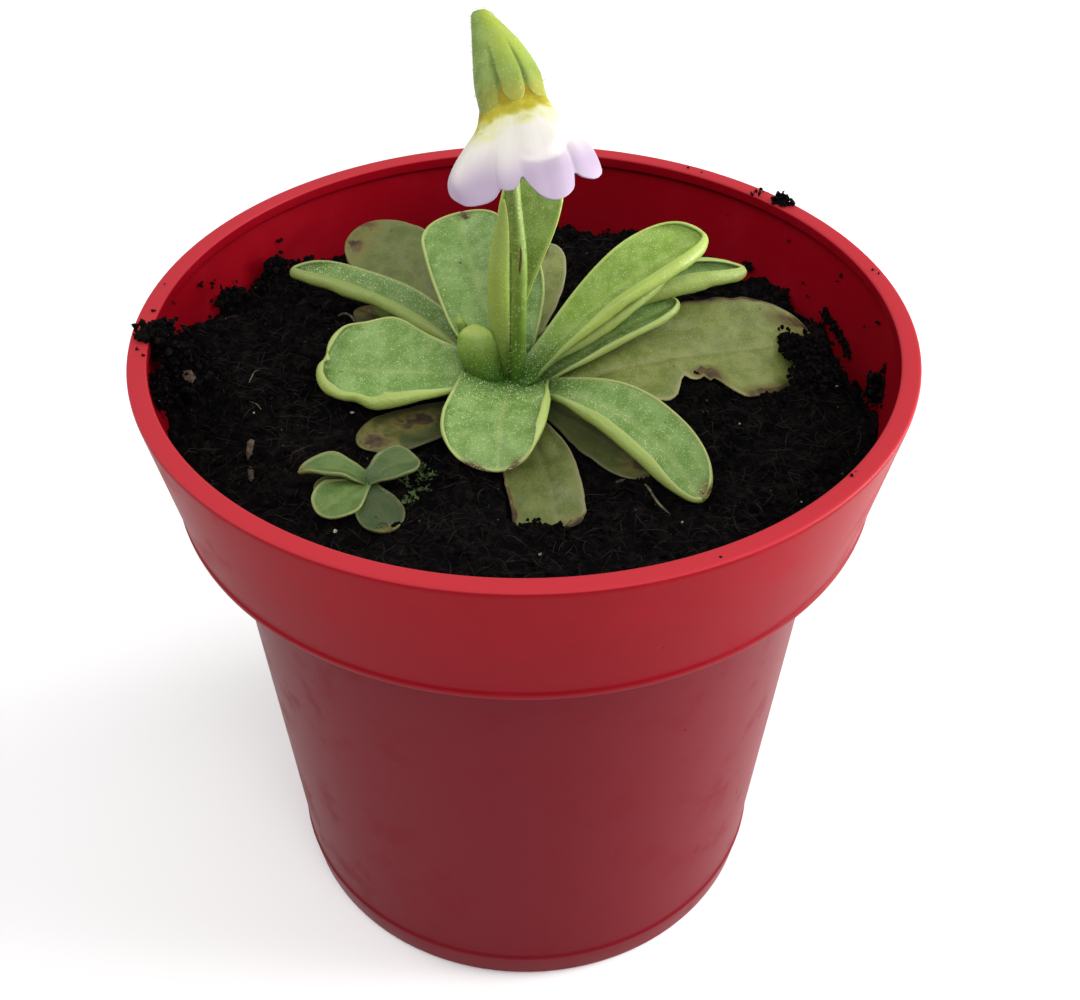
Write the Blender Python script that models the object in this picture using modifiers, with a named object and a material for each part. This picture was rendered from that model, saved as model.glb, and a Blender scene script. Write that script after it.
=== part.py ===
"""Potted butterwort: a leafy rosette with one nodding flower and a plantlet, in a red plastic pot.

Metres, +Z up. The origin is the middle of the pot's foot, on the surface the pot stands on.
The sizes below are in millimetres and MM turns them into metres.
"""
import math

import bmesh
import bpy
import numpy as np
from mathutils import Vector

MM = 0.001
GAP = 0.3 * MM

# Pot: a round pot with a deep band under its rim
POT_HEIGHT = 110 * MM
RIM_RADIUS = 60 * MM
RIM_LIP = 2.1 * MM
BAND_HEIGHT = 24 * MM
BAND_FOOT_RADIUS = 55.3 * MM
BODY_TOP_RADIUS = 49.3 * MM
BASE_RADIUS = 42 * MM
POT_WALL = 1.5 * MM
FLOOR_HEIGHT = 3.5 * MM
FLOOR_THICKNESS = 1.8 * MM
FOOT_WIDTH = 3 * MM
FOOT_LINE_HEIGHT = 6 * MM
DRAIN_HOLES = 8
DRAIN_RADIUS = 4 * MM
DRAIN_CIRCLE = 26 * MM
POT_SIDES = 60

# Soil: its rings are centred on the plant in the middle and on the pot at the wall
SOIL_HEIGHT = 96 * MM
SOIL_SIDES = 60
SOIL_RINGS = 15
LEAF_REACH = 3.4 * MM
LEAF_CLEARANCE = 0.9 * MM

# Crown: the short stem that all the leaves grow from
CROWN_X = -2 * MM
CROWN_Y = 0.5 * MM
CROWN_FOOT = 90 * MM
CROWN_TOP = 103.5 * MM
CROWN_PROFILE = ((3.2, 90), (4.0, 93), (4.5, 96), (4.5, 98), (3.5, 98.8), (3.3, 100.6), (2.4, 101.4),
                 (1.9, 102.6), (1.2, 103.2))
LOW_RING = 5.1 * MM
MIDDLE_RING = 4.1 * MM
HIGH_RING = 3.1 * MM
INNER_RING = 2.0 * MM

# Leaves: every blade is a thin closed shell
BLADE = 0.85 * MM
LEAF_ROWS = 11
ACROSS = (-1, -0.84, -0.5, 0, 0.5, 0.84, 1)
MARGIN_START = 0.72

# Flower
SCAPE_RADIUS = 1.15 * MM
SCAPE_ROUTE = ((-3.1, -1.2, 104.7), (-2.6, -1.1, 112), (-1.3, -0.3, 122), (-0.6, 0.6, 132), (-1.6, 1.8, 143),
               (-3.6, 2.9, 152), (-4.8, 3.3, 157), (-5.1, 2.65, 159.1))
FLOWER_TOP = Vector((-5.0, 1.0, 159.4)) * MM
FLOWER_AXIS = Vector((0.22, -0.68, -0.70)).normalized()
PETAL_BLADE = 0.65 * MM
CALYX_PROFILE = ((0.2, 0.001), (0.4, 1.0), (1.4, 1.8), (2.6, 2.3))
SEPALS = tuple((12 + 72 * k, 4.2, 2.6, 22, 24) for k in range(5))
COROLLA_PROFILE = ((1.6, 0.001), (1.9, 0.7), (4, 1.9), (7.5, 3.2), (11, 4.2), (14.5, 4.9), (17, 6.0),
                   (19.5, 7.4))
PETALS = ((-160, 5.5, 6.8, 26, 32), (-52, 8.4, 8.4, 22, 30), (22, 5.8, 9.4, 32, 46), (90, 6.5, 7.0, 28, 40),
          (144, 6.8, 7.6, 22, 26))

GREEN = (0.22, 0.33, 0.07, 1)
YOUNG_GREEN = (0.32, 0.45, 0.10, 1)
OLD_GREEN = (0.13, 0.19, 0.06, 1)
POT_RED = (0.25, 0.016, 0.028, 1)
SOIL_BROWN = (0.012, 0.008, 0.009, 1)
PETAL_VIOLET = (0.62, 0.52, 0.72, 1)


def leaf(ring, at, z, heading, turn, rise, length, width, widest=0.6, neck=0.35, twist=0, cup=10, roll=(0, 0),
         wave=0.2, bay=None, colour=GREEN):
    """One row of the leaf table: angles in degrees, sizes in millimetres."""
    return dict(ring=ring, at=at, z=z, heading=heading, turn=turn, rise=rise, length=length, width=width,
                widest=widest, neck=neck, twist=twist, cup=cup, roll=roll, wave=wave, bay=bay, colour=colour)


# 'at' is where the leaf leaves the crown and 'heading' where it points: 0 is +X, 90 is +Y.
# 'rise' is its slope at the foot, the middle and the tip. 'roll' curls the left and right margins up.
# 'bay' is a torn bay in the right margin: where it is along the leaf, half its length and how deep it goes.
LEAVES = {
    "leaf_right_old": leaf(LOW_RING, 2, 97.0, 19, -3, (10, -2, -8), 48, 21, neck=0.18, twist=20,
                           roll=(0, 0), wave=0.4, bay=(0.52, 0.09, 0.55), colour=OLD_GREEN),
    "leaf_right_front_old": leaf(LOW_RING, -36, 96.7, -35, -20, (2, -4, -7), 23.5, 10, neck=0.25, cup=6,
                                 roll=(8, 8), colour=OLD_GREEN),
    "leaf_front_old": leaf(LOW_RING, -84, 96.8, -69, -16, (9, -4, -12), 28, 12.5, neck=0.28, twist=14, cup=6,
                           roll=(8, 8), colour=OLD_GREEN),
    "leaf_left_front_old": leaf(LOW_RING, -150, 96.9, -149, -2, (-3, 1, 1), 22, 10, neck=0.3, cup=6,
                                roll=(8, 8), colour=OLD_GREEN),
    "leaf_left_old": leaf(LOW_RING, 164, 96.6, 132, 3, (1, 3, -6), 31.5, 8.5, neck=0.3, cup=6, roll=(8, 8),
                          colour=OLD_GREEN),
    "leaf_back_left_old": leaf(LOW_RING, 124, 97.6, 114, 22, (10, 9, 7), 43.5, 16, widest=0.68, neck=0.22,
                               twist=-11, cup=6, roll=(10, 10), colour=OLD_GREEN),
    "leaf_back_old": leaf(LOW_RING, 84, 97.4, 76, 1, (22, 18, 22), 27, 8.5, widest=0.65, roll=(30, 30),
                          wave=0.1, colour=OLD_GREEN),
    "leaf_right_back_old": leaf(LOW_RING, 50, 98.1, 41, -9, (13, 12, 0), 34, 8, widest=0.65, neck=0.3,
                                twist=-4, cup=15, roll=(50, 50), wave=0.1, colour=OLD_GREEN),
    "leaf_front": leaf(MIDDLE_RING, -100, 98.8, -100, 8, (12, 6, -38), 18.5, 20.5, widest=0.45, neck=0.4,
                       twist=6, roll=(60, 60)),
    "leaf_right_front": leaf(MIDDLE_RING, -35, 99.9, -28, -38, (21, -5, -18), 37, 11.5, widest=0.55, neck=0.3,
                             twist=15, cup=14, roll=(40, 80)),
    "leaf_left_front": leaf(MIDDLE_RING, -168, 99.8, -177, -14, (16, 1, 2), 26.5, 20.5, neck=0.22,
                            twist=-12, cup=12, roll=(90, 12), wave=0.7),
    "leaf_left_long": leaf(MIDDLE_RING, 142, 101.0, 140, 20, (23, 9, -4), 39.5, 11, neck=0.24, twist=8,
                           cup=25, roll=(110, 50)),
    "leaf_right_short": leaf(4.6 * MM, 12, 98.4, 29, 2, (17, 16, 3), 26.5, 8, widest=0.72, neck=0.26,
                             twist=0, cup=15, roll=(50, 50), wave=0.1),
    "leaf_right_tube": leaf(MIDDLE_RING, 70, 100.6, 39, -30, (17, 12, 0), 41.5, 9.5, widest=0.68, neck=0.28,
                            twist=4, cup=34, roll=(64, 86), wave=0.1),
    "leaf_back_left": leaf(HIGH_RING, 120, 102.3, 120, -18, (36, 36, 34), 27.5, 15, widest=0.8, neck=0.34,
                           twist=-14, cup=12, roll=(50, 50)),
    "leaf_back_right": leaf(3.5 * MM, 56, 102.2, 86, 9, (56, 50, 42), 16.5, 6.5, neck=0.3, cup=12,
                            roll=(50, 50), wave=0.1),
    "leaf_right_second": leaf(3.9 * MM, 15, 101.2, 26, 16, (22, 26, 6), 28, 12, neck=0.28, twist=4, cup=25,
                              roll=(60, 100), wave=0.1),
    "leaf_right_long": leaf(4.2 * MM, -25, 102.8, 35, -1, (38, 24, 3), 36, 12.5, widest=0.68, neck=0.3,
                            twist=6, cup=24, roll=(30, 110), wave=0.1, colour=YOUNG_GREEN),
    "leaf_young_upright": leaf(INNER_RING, 80, 103.9, 75, -16, (85, 71, 56), 28, 12, widest=0.88, neck=0.34,
                               cup=25, roll=(90, 90), wave=0.1, colour=YOUNG_GREEN),
    "leaf_young_bud": leaf(2.6 * MM, 186, 102.9, 170, -12, (47, 53, 63), 8, 6.5, neck=0.4, cup=34,
                           roll=(34, 34), wave=0, colour=YOUNG_GREEN),
}

# Plantlet: a tiny rosette grown from the tip of an old leaf
PLANTLET_AT = (-22.6, -22.4, 98.4)
PLANTLET_CORE = 1.5 * MM
PLANTLET_LEAVES = (
    dict(heading=158, turn=6, rise=(34, 20, 8), length=11.5, width=5.6, widest=0.55, neck=0.4, cup=25),
    dict(heading=32, turn=6, rise=(24, 12, 0), length=7.6, width=6.0, widest=0.55, neck=0.4, cup=20),
    dict(heading=-122, turn=-6, rise=(10, 2, -6), length=9.6, width=6.4, widest=0.6, neck=0.35, cup=12),
    dict(heading=-68, turn=4, rise=(-6, -4, -4), length=8.4, width=6.0, widest=0.6, neck=0.35, cup=8),
    dict(heading=98, turn=0, rise=(16, 6, 0), length=7.0, width=5.0, widest=0.6, neck=0.4, cup=12),
)

# Rim crumbs: soil that lies on the rim, each at its inset from the rim's outer edge
RIM_CRUMBS = {
    "crumb_back": dict(angle=40.4, inset=0.6, size=(2.6, 1.9, 1.7), seed=3),
    "crumb_left": dict(angle=178.0, inset=2.4, size=(2.6, 1.7, 1.6), seed=8),
}


def clear_scene():
    for item in list(bpy.data.objects):
        bpy.data.objects.remove(item, do_unlink=True)


def make_collection(name):
    group = bpy.data.collections.new(name)
    bpy.context.scene.collection.children.link(group)
    return group


def make_material(name, colour, roughness, metallic=0.0):
    material = bpy.data.materials.new(name)
    material.use_nodes = True
    shader = material.node_tree.nodes["Principled BSDF"]
    shader.inputs["Base Color"].default_value = colour
    shader.inputs["Roughness"].default_value = roughness
    shader.inputs["Metallic"].default_value = metallic
    return material


def add_object(name, mesh, group, material):
    item = bpy.data.objects.new(name, mesh)
    group.objects.link(item)
    mesh.materials.append(material)
    return item


def smooth_step(s):
    s = np.clip(s, 0, 1)
    return s * s * (3 - 2 * s)


def shade_round(mesh, angle=40):
    mesh.shade_smooth()
    mesh.set_sharp_from_angle(angle=math.radians(angle))


def apply_modifiers(item):
    """Swaps the object's mesh for the one that its modifiers make."""
    depsgraph = bpy.context.evaluated_depsgraph_get()
    mesh = bpy.data.meshes.new_from_object(item.evaluated_get(depsgraph))
    item.modifiers.clear()
    item.data = mesh
    return mesh


def turned(name, profile, sides, group, material):
    """Turns a profile of (radius, height) points round the Z axis."""
    mesh = bpy.data.meshes.new(name)
    points = [(radius, 0, height) for radius, height in profile]
    edges = [(k, k + 1) for k in range(len(points) - 1)]
    mesh.from_pydata(points, edges, [])
    item = add_object(name, mesh, group, material)
    screw = item.modifiers.new("Turn", "SCREW")
    screw.steps = sides
    screw.render_steps = sides
    screw.use_merge_vertices = True
    screw.merge_threshold = 0.00001
    return item


def band_radius(z):
    """Outer radius of the pot's band at height z."""
    share = (POT_HEIGHT - z) / BAND_HEIGHT
    return RIM_RADIUS + (BAND_FOOT_RADIUS - RIM_RADIUS) * share


def body_radius(z):
    """Outer radius of the pot's body at height z."""
    body_top = POT_HEIGHT - BAND_HEIGHT
    return BASE_RADIUS + (BODY_TOP_RADIUS - BASE_RADIUS) * z / body_top


def build_pot(group, cutters):
    band_foot = POT_HEIGHT - BAND_HEIGHT
    lip_depth = 3.2 * MM
    edge = 0.6 * MM
    line = 0.4 * MM
    profile = [
        (0, FLOOR_HEIGHT),
        (body_radius(FLOOR_HEIGHT) - POT_WALL, FLOOR_HEIGHT),
        (body_radius(band_foot) - POT_WALL, band_foot + POT_WALL),
        (band_radius(band_foot) - POT_WALL - 1 * MM, band_foot + POT_WALL),
        (band_radius(band_foot + 3 * MM) - POT_WALL, band_foot + 3 * MM),
        (band_radius(POT_HEIGHT - lip_depth) - POT_WALL, POT_HEIGHT - lip_depth),
        (RIM_RADIUS - RIM_LIP, POT_HEIGHT - lip_depth + edge),
        (RIM_RADIUS - RIM_LIP, POT_HEIGHT - edge),
        (RIM_RADIUS - RIM_LIP + edge, POT_HEIGHT),
        (RIM_RADIUS - edge, POT_HEIGHT),
        (RIM_RADIUS, POT_HEIGHT - edge),
        (band_radius(band_foot + 1.4 * MM), band_foot + 1.4 * MM),
        (band_radius(band_foot + 1.0 * MM) + line, band_foot + 1.0 * MM),
        (band_radius(band_foot) + line, band_foot),
        (body_radius(band_foot), band_foot),
        (body_radius(FOOT_LINE_HEIGHT + 1 * MM), FOOT_LINE_HEIGHT + 1 * MM),
        (body_radius(FOOT_LINE_HEIGHT) + line, FOOT_LINE_HEIGHT),
        (BASE_RADIUS, edge),
        (BASE_RADIUS - edge, 0),
        (BASE_RADIUS - FOOT_WIDTH, 0),
        (BASE_RADIUS - FOOT_WIDTH - edge, FLOOR_HEIGHT - FLOOR_THICKNESS),
        (0, FLOOR_HEIGHT - FLOOR_THICKNESS),
    ]
    pot = turned("pot", profile, POT_SIDES, group, make_material("red_plastic", POT_RED, 0.35))
    for k in range(DRAIN_HOLES):
        angle = 2 * math.pi * k / DRAIN_HOLES
        x, y = DRAIN_CIRCLE * math.cos(angle), DRAIN_CIRCLE * math.sin(angle)
        bpy.ops.mesh.primitive_cylinder_add(vertices=16, radius=DRAIN_RADIUS, depth=4 * FLOOR_THICKNESS,
                                            location=(x, y, FLOOR_HEIGHT - FLOOR_THICKNESS / 2))
        cutter = bpy.context.object
        cutter.name = f"drain_cutter_{k + 1}"
        cutter.display_type = "WIRE"
        cutter.hide_render = True
        for owner in cutter.users_collection:
            owner.objects.unlink(cutter)
        cutters.objects.link(cutter)
    cut = pot.modifiers.new("Drain holes", "BOOLEAN")
    cut.operation = "DIFFERENCE"
    cut.operand_type = "COLLECTION"
    cut.collection = cutters
    mesh = apply_modifiers(pot)
    shade_round(mesh)
    return pot


def half_width(share, blade):
    """Half the blade's width along its length: a smooth rise to the widest place, then a round tip."""
    rise = blade["neck"] + (1 - blade["neck"]) * smooth_step(share / blade["widest"])
    fall = np.sqrt(np.clip(1 - np.clip((share - blade["widest"]) / (1 - blade["widest"]), 0, 1) ** 2.4, 0, 1))
    return blade["width"] / 2 * MM * np.where(share < blade["widest"], rise, fall)


def margin_section(cup, roll):
    """Cross-section from the midrib out: the slope grows by the cup, and by the roll near the margin."""
    steps = 120
    across = (np.arange(steps) + 0.5) / steps
    rolled = smooth_step((across - MARGIN_START) / (1 - MARGIN_START))
    slope = np.radians(cup) * across + np.radians(roll) * rolled
    out = np.concatenate([[0], np.cumsum(np.cos(slope))]) / steps
    up = np.concatenate([[0], np.cumsum(np.sin(slope))]) / steps
    return out, up


def torn(along, across, bay):
    """Share of the width that is left: less than 1 on the right side, within the torn bay."""
    if bay is None:
        return np.ones((len(along), len(across)))
    place, half_length, depth = bay
    cut = depth / (1 + ((along - place) / half_length) ** 6)
    return 1 - cut[:, None] * np.where(across < 0, 1, 0)[None, :]


def section_points(across, cup, roll_left, roll_right):
    """Cross-section of a whole blade: how far out and how far up each share across lies."""
    shares = np.linspace(0, 1, 121)
    reach = np.abs(across)
    out_left, up_left = margin_section(cup, roll_left)
    out_right, up_right = margin_section(cup, roll_right)
    out = np.where(across >= 0, np.interp(reach, shares, out_left), -np.interp(reach, shares, out_right))
    up = np.where(across >= 0, np.interp(reach, shares, up_left), np.interp(reach, shares, up_right))
    return out, up


def blade_points(blade, start, along, across):
    """Points of a blade's middle surface for each share along its midrib and each share across.

    The midrib leaves 'start' and follows its heading and its slope. The blade turns about the midrib by its
    twist, and its cross-section follows the cup and the rolled margins, with a slow wave at the edge. The
    twist and the roll grow from nothing over the first third of the blade.
    """
    foot, middle, tip = blade["rise"]

    def slope(u):
        return np.radians(foot * (1 - u) * (1 - 2 * u) + 4 * middle * u * (1 - u) + tip * u * (2 * u - 1))

    def heading(u):
        return np.radians(blade["heading"] + blade["turn"] * u)

    def direction(u):
        level = np.cos(slope(u))
        return np.stack([level * np.cos(heading(u)), level * np.sin(heading(u)), np.sin(slope(u))], 1)

    steps = 200
    path = np.vstack([np.zeros(3), np.cumsum(direction((np.arange(steps) + 0.5) / steps), 0)])
    path *= blade["length"] * MM / steps
    ends = np.linspace(0, 1, steps + 1)
    midrib = np.stack([np.interp(along, ends, path[:, k]) for k in range(3)], 1) + np.asarray(start)
    left = np.stack([-np.sin(heading(along)), np.cos(heading(along)), 0 * along], 1)
    above = np.cross(direction(along), left)
    turned_by = np.radians(blade.get("twist", 0)) * smooth_step(along / 0.35)
    side = left * np.cos(turned_by)[:, None] + above * np.sin(turned_by)[:, None]
    normal = np.cross(direction(along), side)
    roll_left, roll_right = blade.get("roll", (0, 0))
    curled = smooth_step(along / 0.35)[:, None]
    out_flat, up_flat = section_points(across, blade["cup"], 0, 0)
    out_rolled, up_rolled = section_points(across, blade["cup"], roll_left, roll_right)
    out = out_flat * (1 - curled) + out_rolled * curled
    up = up_flat * (1 - curled) + up_rolled * curled
    width = half_width(along, blade)[:, None] * torn(along, across, blade.get("bay"))
    section = side[:, None] * out[..., None] + normal[:, None] * up[..., None]
    points = midrib[:, None] + width[..., None] * section
    phase = blade["heading"] / 50
    wave = np.sin(2 * np.pi * (2.2 * along + phase)) * smooth_step(along / 0.3) * blade.get("wave", 0) * MM
    wave *= half_width(along, blade) / (blade["width"] / 2 * MM)
    edge = across ** 2 * np.where(across >= 0, 1, -0.8)
    return points + normal[:, None] * (wave[:, None] * edge[None, :])[..., None]


def blade_rows(rows):
    """Shares along the midrib, closer together towards the round tip."""
    return 1 - (1 - np.linspace(0, 1, rows)) ** 1.3


def grid_mesh(name, points):
    """A triangulated grid with the given rows and columns of points."""
    rows, columns = points.shape[:2]
    bm = bmesh.new()
    bmesh.ops.create_grid(bm, x_segments=columns - 1, y_segments=rows - 1, size=1)
    bm.verts.ensure_lookup_table()
    for vert, place in zip(bm.verts, points.reshape(-1, 3)):
        vert.co = place
    bmesh.ops.triangulate(bm, faces=bm.faces[:])
    bmesh.ops.remove_doubles(bm, verts=bm.verts[:], dist=0.00001)
    bmesh.ops.dissolve_degenerate(bm, edges=bm.edges[:], dist=0.00001)
    mesh = bpy.data.meshes.new(name)
    bm.to_mesh(mesh)
    bm.free()
    return mesh


def thicken(item, thickness):
    solid = item.modifiers.new("Blade", "SOLIDIFY")
    solid.thickness = thickness
    solid.offset = 0
    return solid


def leaf_start(blade):
    angle = math.radians(blade["at"])
    x = CROWN_X + blade["ring"] * math.cos(angle)
    y = CROWN_Y + blade["ring"] * math.sin(angle)
    return x, y, blade["z"] * MM


def build_leaves(group):
    """Makes each leaf and returns the points of all blades, which the soil keeps clear of."""
    along = blade_rows(LEAF_ROWS)
    across = np.array(ACROSS, float)
    fine = np.linspace(0, 1, 40)
    touched = []
    for name, blade in LEAVES.items():
        mesh = grid_mesh(name, blade_points(blade, leaf_start(blade), along, across))
        item = add_object(name, mesh, group, make_material(name, blade["colour"], 0.4))
        thicken(item, BLADE)
        mesh.shade_smooth()
        touched.append(blade_points(blade, leaf_start(blade), fine, np.linspace(-1, 1, 17)).reshape(-1, 3))
    return np.vstack(touched)


def plantlet_blades():
    start = np.array(PLANTLET_AT) * MM
    return [blade_points(blade, start, blade_rows(7), np.linspace(-1, 1, 5)) for blade in PLANTLET_LEAVES]


def build_plantlet(group):
    """Small blades that leave one core, joined into one body."""
    blades = bpy.data.collections.new("plantlet_blades")
    bpy.context.scene.collection.children.link(blades)
    green = make_material("plantlet_green", GREEN, 0.45)
    for k, points in enumerate(plantlet_blades()):
        item = add_object(f"plantlet_blade_{k + 1}", grid_mesh("plantlet_blade", points), blades, green)
        thicken(item, BLADE)
        apply_modifiers(item)
    bpy.ops.mesh.primitive_uv_sphere_add(segments=12, ring_count=8, radius=PLANTLET_CORE,
                                         location=Vector(PLANTLET_AT) * MM)
    core = bpy.context.object
    core.name = "plantlet"
    core.data.materials.append(green)
    for owner in core.users_collection:
        owner.objects.unlink(core)
    group.objects.link(core)
    join = core.modifiers.new("Join", "BOOLEAN")
    join.operation = "UNION"
    join.operand_type = "COLLECTION"
    join.collection = blades
    apply_modifiers(core)
    for item in list(blades.objects):
        bpy.data.objects.remove(item, do_unlink=True)
    bpy.data.collections.remove(blades)
    return np.vstack([points.reshape(-1, 3) for points in plantlet_blades()])


def soil_relief(x, y):
    """Height of the soil's surface: a shallow dish that is piled up at the left, with low lumps."""
    piled = 5.5 * MM * np.exp(-((x + 54 * MM) ** 2 + (y - 14 * MM) ** 2) / (2 * (15 * MM) ** 2))
    back = 1.5 * MM * np.exp(-((x + 6 * MM) ** 2 + (y - 52 * MM) ** 2) / (2 * (18 * MM) ** 2))
    front = 1.5 * MM * smooth_step((-y - 20 * MM) / (30 * MM))
    low = -3.2 * MM * np.exp(-((x - 38 * MM) ** 2 + (y - 38 * MM) ** 2) / (2 * (14 * MM) ** 2))
    clump = 2.4 * MM * np.exp(-((x - 54 * MM) ** 2 + (y - 2 * MM) ** 2) / (2 * (6 * MM) ** 2))
    lumps = 0.5 * MM * (np.sin(x / (3.1 * MM) + 1.3 * np.sin(y / (4.3 * MM)))
                        * np.sin(y / (3.7 * MM) + 1.1 * np.sin(x / (5.2 * MM))))
    return SOIL_HEIGHT + piled + back + front + low + clump + lumps


def pressed(x, y, z, touched):
    """Lowers the soil where a leaf lies on it, so that the leaf stays clear."""
    lowered = z.copy()
    for k in range(len(x)):
        near = (np.abs(touched[:, 0] - x[k]) < LEAF_REACH) & (np.abs(touched[:, 1] - y[k]) < LEAF_REACH)
        if near.any():
            lowered[k] = min(z[k], touched[near, 2].min() - LEAF_CLEARANCE)
    return lowered


def build_soil(group, touched):
    band_foot = POT_HEIGHT - BAND_HEIGHT
    wall_foot = band_foot + POT_WALL + GAP
    hole = max(radius for radius, height in CROWN_PROFILE) * MM + 1.5 * GAP
    edge = band_radius(SOIL_HEIGHT) - POT_WALL - 2 * GAP
    top = [(hole + (edge - hole) * (k / SOIL_RINGS) ** 0.85, SOIL_HEIGHT) for k in range(SOIL_RINGS + 1)]
    profile = [(0, CROWN_FOOT - GAP), (hole, CROWN_FOOT - GAP)] + top + [
        (band_radius(band_foot + 3 * MM) - POT_WALL - 1.5 * GAP, band_foot + 3 * MM + GAP),
        (band_radius(band_foot) - POT_WALL - 1 * MM - GAP, wall_foot),
        (body_radius(band_foot) - POT_WALL - GAP, wall_foot),
        (body_radius(FLOOR_HEIGHT) - POT_WALL - GAP, FLOOR_HEIGHT + GAP),
        (0, FLOOR_HEIGHT + GAP),
    ]
    soil = turned("soil", profile, SOIL_SIDES, group, make_material("potting_soil", SOIL_BROWN, 0.95))
    mesh = apply_modifiers(soil)
    count = len(mesh.vertices)
    places = np.empty(count * 3)
    mesh.vertices.foreach_get("co", places)
    places = places.reshape(-1, 3)
    radius = np.hypot(places[:, 0], places[:, 1])
    surface = np.isclose(places[:, 2], SOIL_HEIGHT, atol=1e-6)
    well = (places[:, 2] > CROWN_FOOT - 2 * GAP) & (radius < edge)
    shift = np.where(well, 1 - np.clip((radius - hole) / (edge - hole), 0, 1), 0)
    places[:, 0] += CROWN_X * shift
    places[:, 1] += CROWN_Y * shift
    x, y = places[surface, 0], places[surface, 1]
    places[surface, 2] = pressed(x, y, soil_relief(x, y), touched)
    outer = surface & (radius > edge - 1e-6)
    wall = (band_radius(places[outer, 2]) - POT_WALL - 2 * GAP) / radius[outer]
    places[outer, 0] *= wall
    places[outer, 1] *= wall
    mesh.vertices.foreach_set("co", places.ravel())
    mesh.update()
    bm = bmesh.new()
    bm.from_mesh(mesh)
    bmesh.ops.triangulate(bm, faces=bm.faces[:])
    bm.to_mesh(mesh)
    bm.free()
    return soil


def build_crown(group):
    profile = [(0, CROWN_TOP)]
    profile += [(radius * MM, height * MM) for radius, height in reversed(CROWN_PROFILE)]
    profile += [(0, CROWN_FOOT)]
    crown = turned("crown", profile, 20, group, make_material("crown_green", GREEN, 0.5))
    mesh = apply_modifiers(crown)
    bm = bmesh.new()
    bm.from_mesh(mesh)
    bmesh.ops.translate(bm, verts=bm.verts[:], vec=(CROWN_X, CROWN_Y, 0))
    bm.to_mesh(mesh)
    bm.free()
    mesh.shade_smooth()


def build_scape(group):
    """The bare flower stalk, a round tube along a curve that nods at its top."""
    curve = bpy.data.curves.new("scape", "CURVE")
    curve.dimensions = "3D"
    curve.bevel_depth = SCAPE_RADIUS
    curve.bevel_resolution = 2
    curve.use_fill_caps = True
    spline = curve.splines.new("POLY")
    spline.points.add(len(SCAPE_ROUTE) - 1)
    for k, (x, y, z) in enumerate(SCAPE_ROUTE):
        spline.points[k].co = (x * MM, y * MM, z * MM, 1)
        spline.points[k].radius = 1 - 0.2 * k / (len(SCAPE_ROUTE) - 1)
    item = bpy.data.objects.new("scape", curve)
    group.objects.link(item)
    curve.materials.append(make_material("scape_green", YOUNG_GREEN, 0.4))


def flower_frame():
    """The flower's own axes: along it, to its right and up, as seen from the front of the pot."""
    axis = np.array(FLOWER_AXIS)
    right = np.array(FLOWER_AXIS.cross(Vector((0, 0, 1))).normalized())
    right = right if right[0] > 0 else -right
    front = np.cross(axis, right)
    front = front if front[2] > 0 else -front
    return axis, right, front


def cup_rings(profile, angles):
    """Rings of a cup round the flower's axis, one for each (length, radius) of its profile."""
    axis, right, front = flower_frame()
    lengths, radii = np.array(profile).T * MM
    spokes = np.cos(angles)[:, None] * front + np.sin(angles)[:, None] * right
    return np.array(FLOWER_TOP) + lengths[:, None, None] * axis + radii[:, None, None] * spokes[None]


def lobe_points(lobe, rim, share, rows):
    """Points of one lobe: rows from the cup's rim to the round tip.

    The lobe's middle line bends from the slope at its foot to the slope at its tip. Its rows change from the
    rim's arc into straight rows of the lobe's own width.
    """
    axis, right, front = flower_frame()
    angle, length, width, slope_foot, slope_tip = lobe
    spoke = math.cos(math.radians(angle)) * front + math.sin(math.radians(angle)) * right
    side = np.cross(axis, spoke)
    side = side if np.dot(side, rim[-1] - rim[0]) > 0 else -side
    steps = 80
    slope = np.radians(slope_foot + (slope_tip - slope_foot) * (np.arange(steps) + 0.5) / steps)
    ends = np.linspace(0, 1, steps + 1)
    run = np.concatenate([[0], np.cumsum(np.cos(slope))]) * length * MM / steps
    spread = np.concatenate([[0], np.cumsum(np.sin(slope))]) * length * MM / steps
    u = blade_rows(rows + 1)
    out = np.interp(u, ends, run)[:, None] * axis + np.interp(u, ends, spread)[:, None] * spoke
    half = half_width(u, dict(width=width, widest=0.6, neck=0.85))
    blend = smooth_step(u / 0.4)[:, None, None]
    from_rim = rim[None] + out[:, None]
    middle = rim[len(rim) // 2]
    as_blade = middle + out[:, None] + (half[:, None] * share[None])[..., None] * side
    return from_rim * (1 - blend) + as_blade * blend


def add_grid(bm, points):
    verts = [[bm.verts.new(place) for place in row] for row in points]
    for lower, upper in zip(verts, verts[1:]):
        for c in range(len(lower) - 1):
            bm.faces.new((lower[c], lower[c + 1], upper[c + 1], upper[c]))


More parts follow.
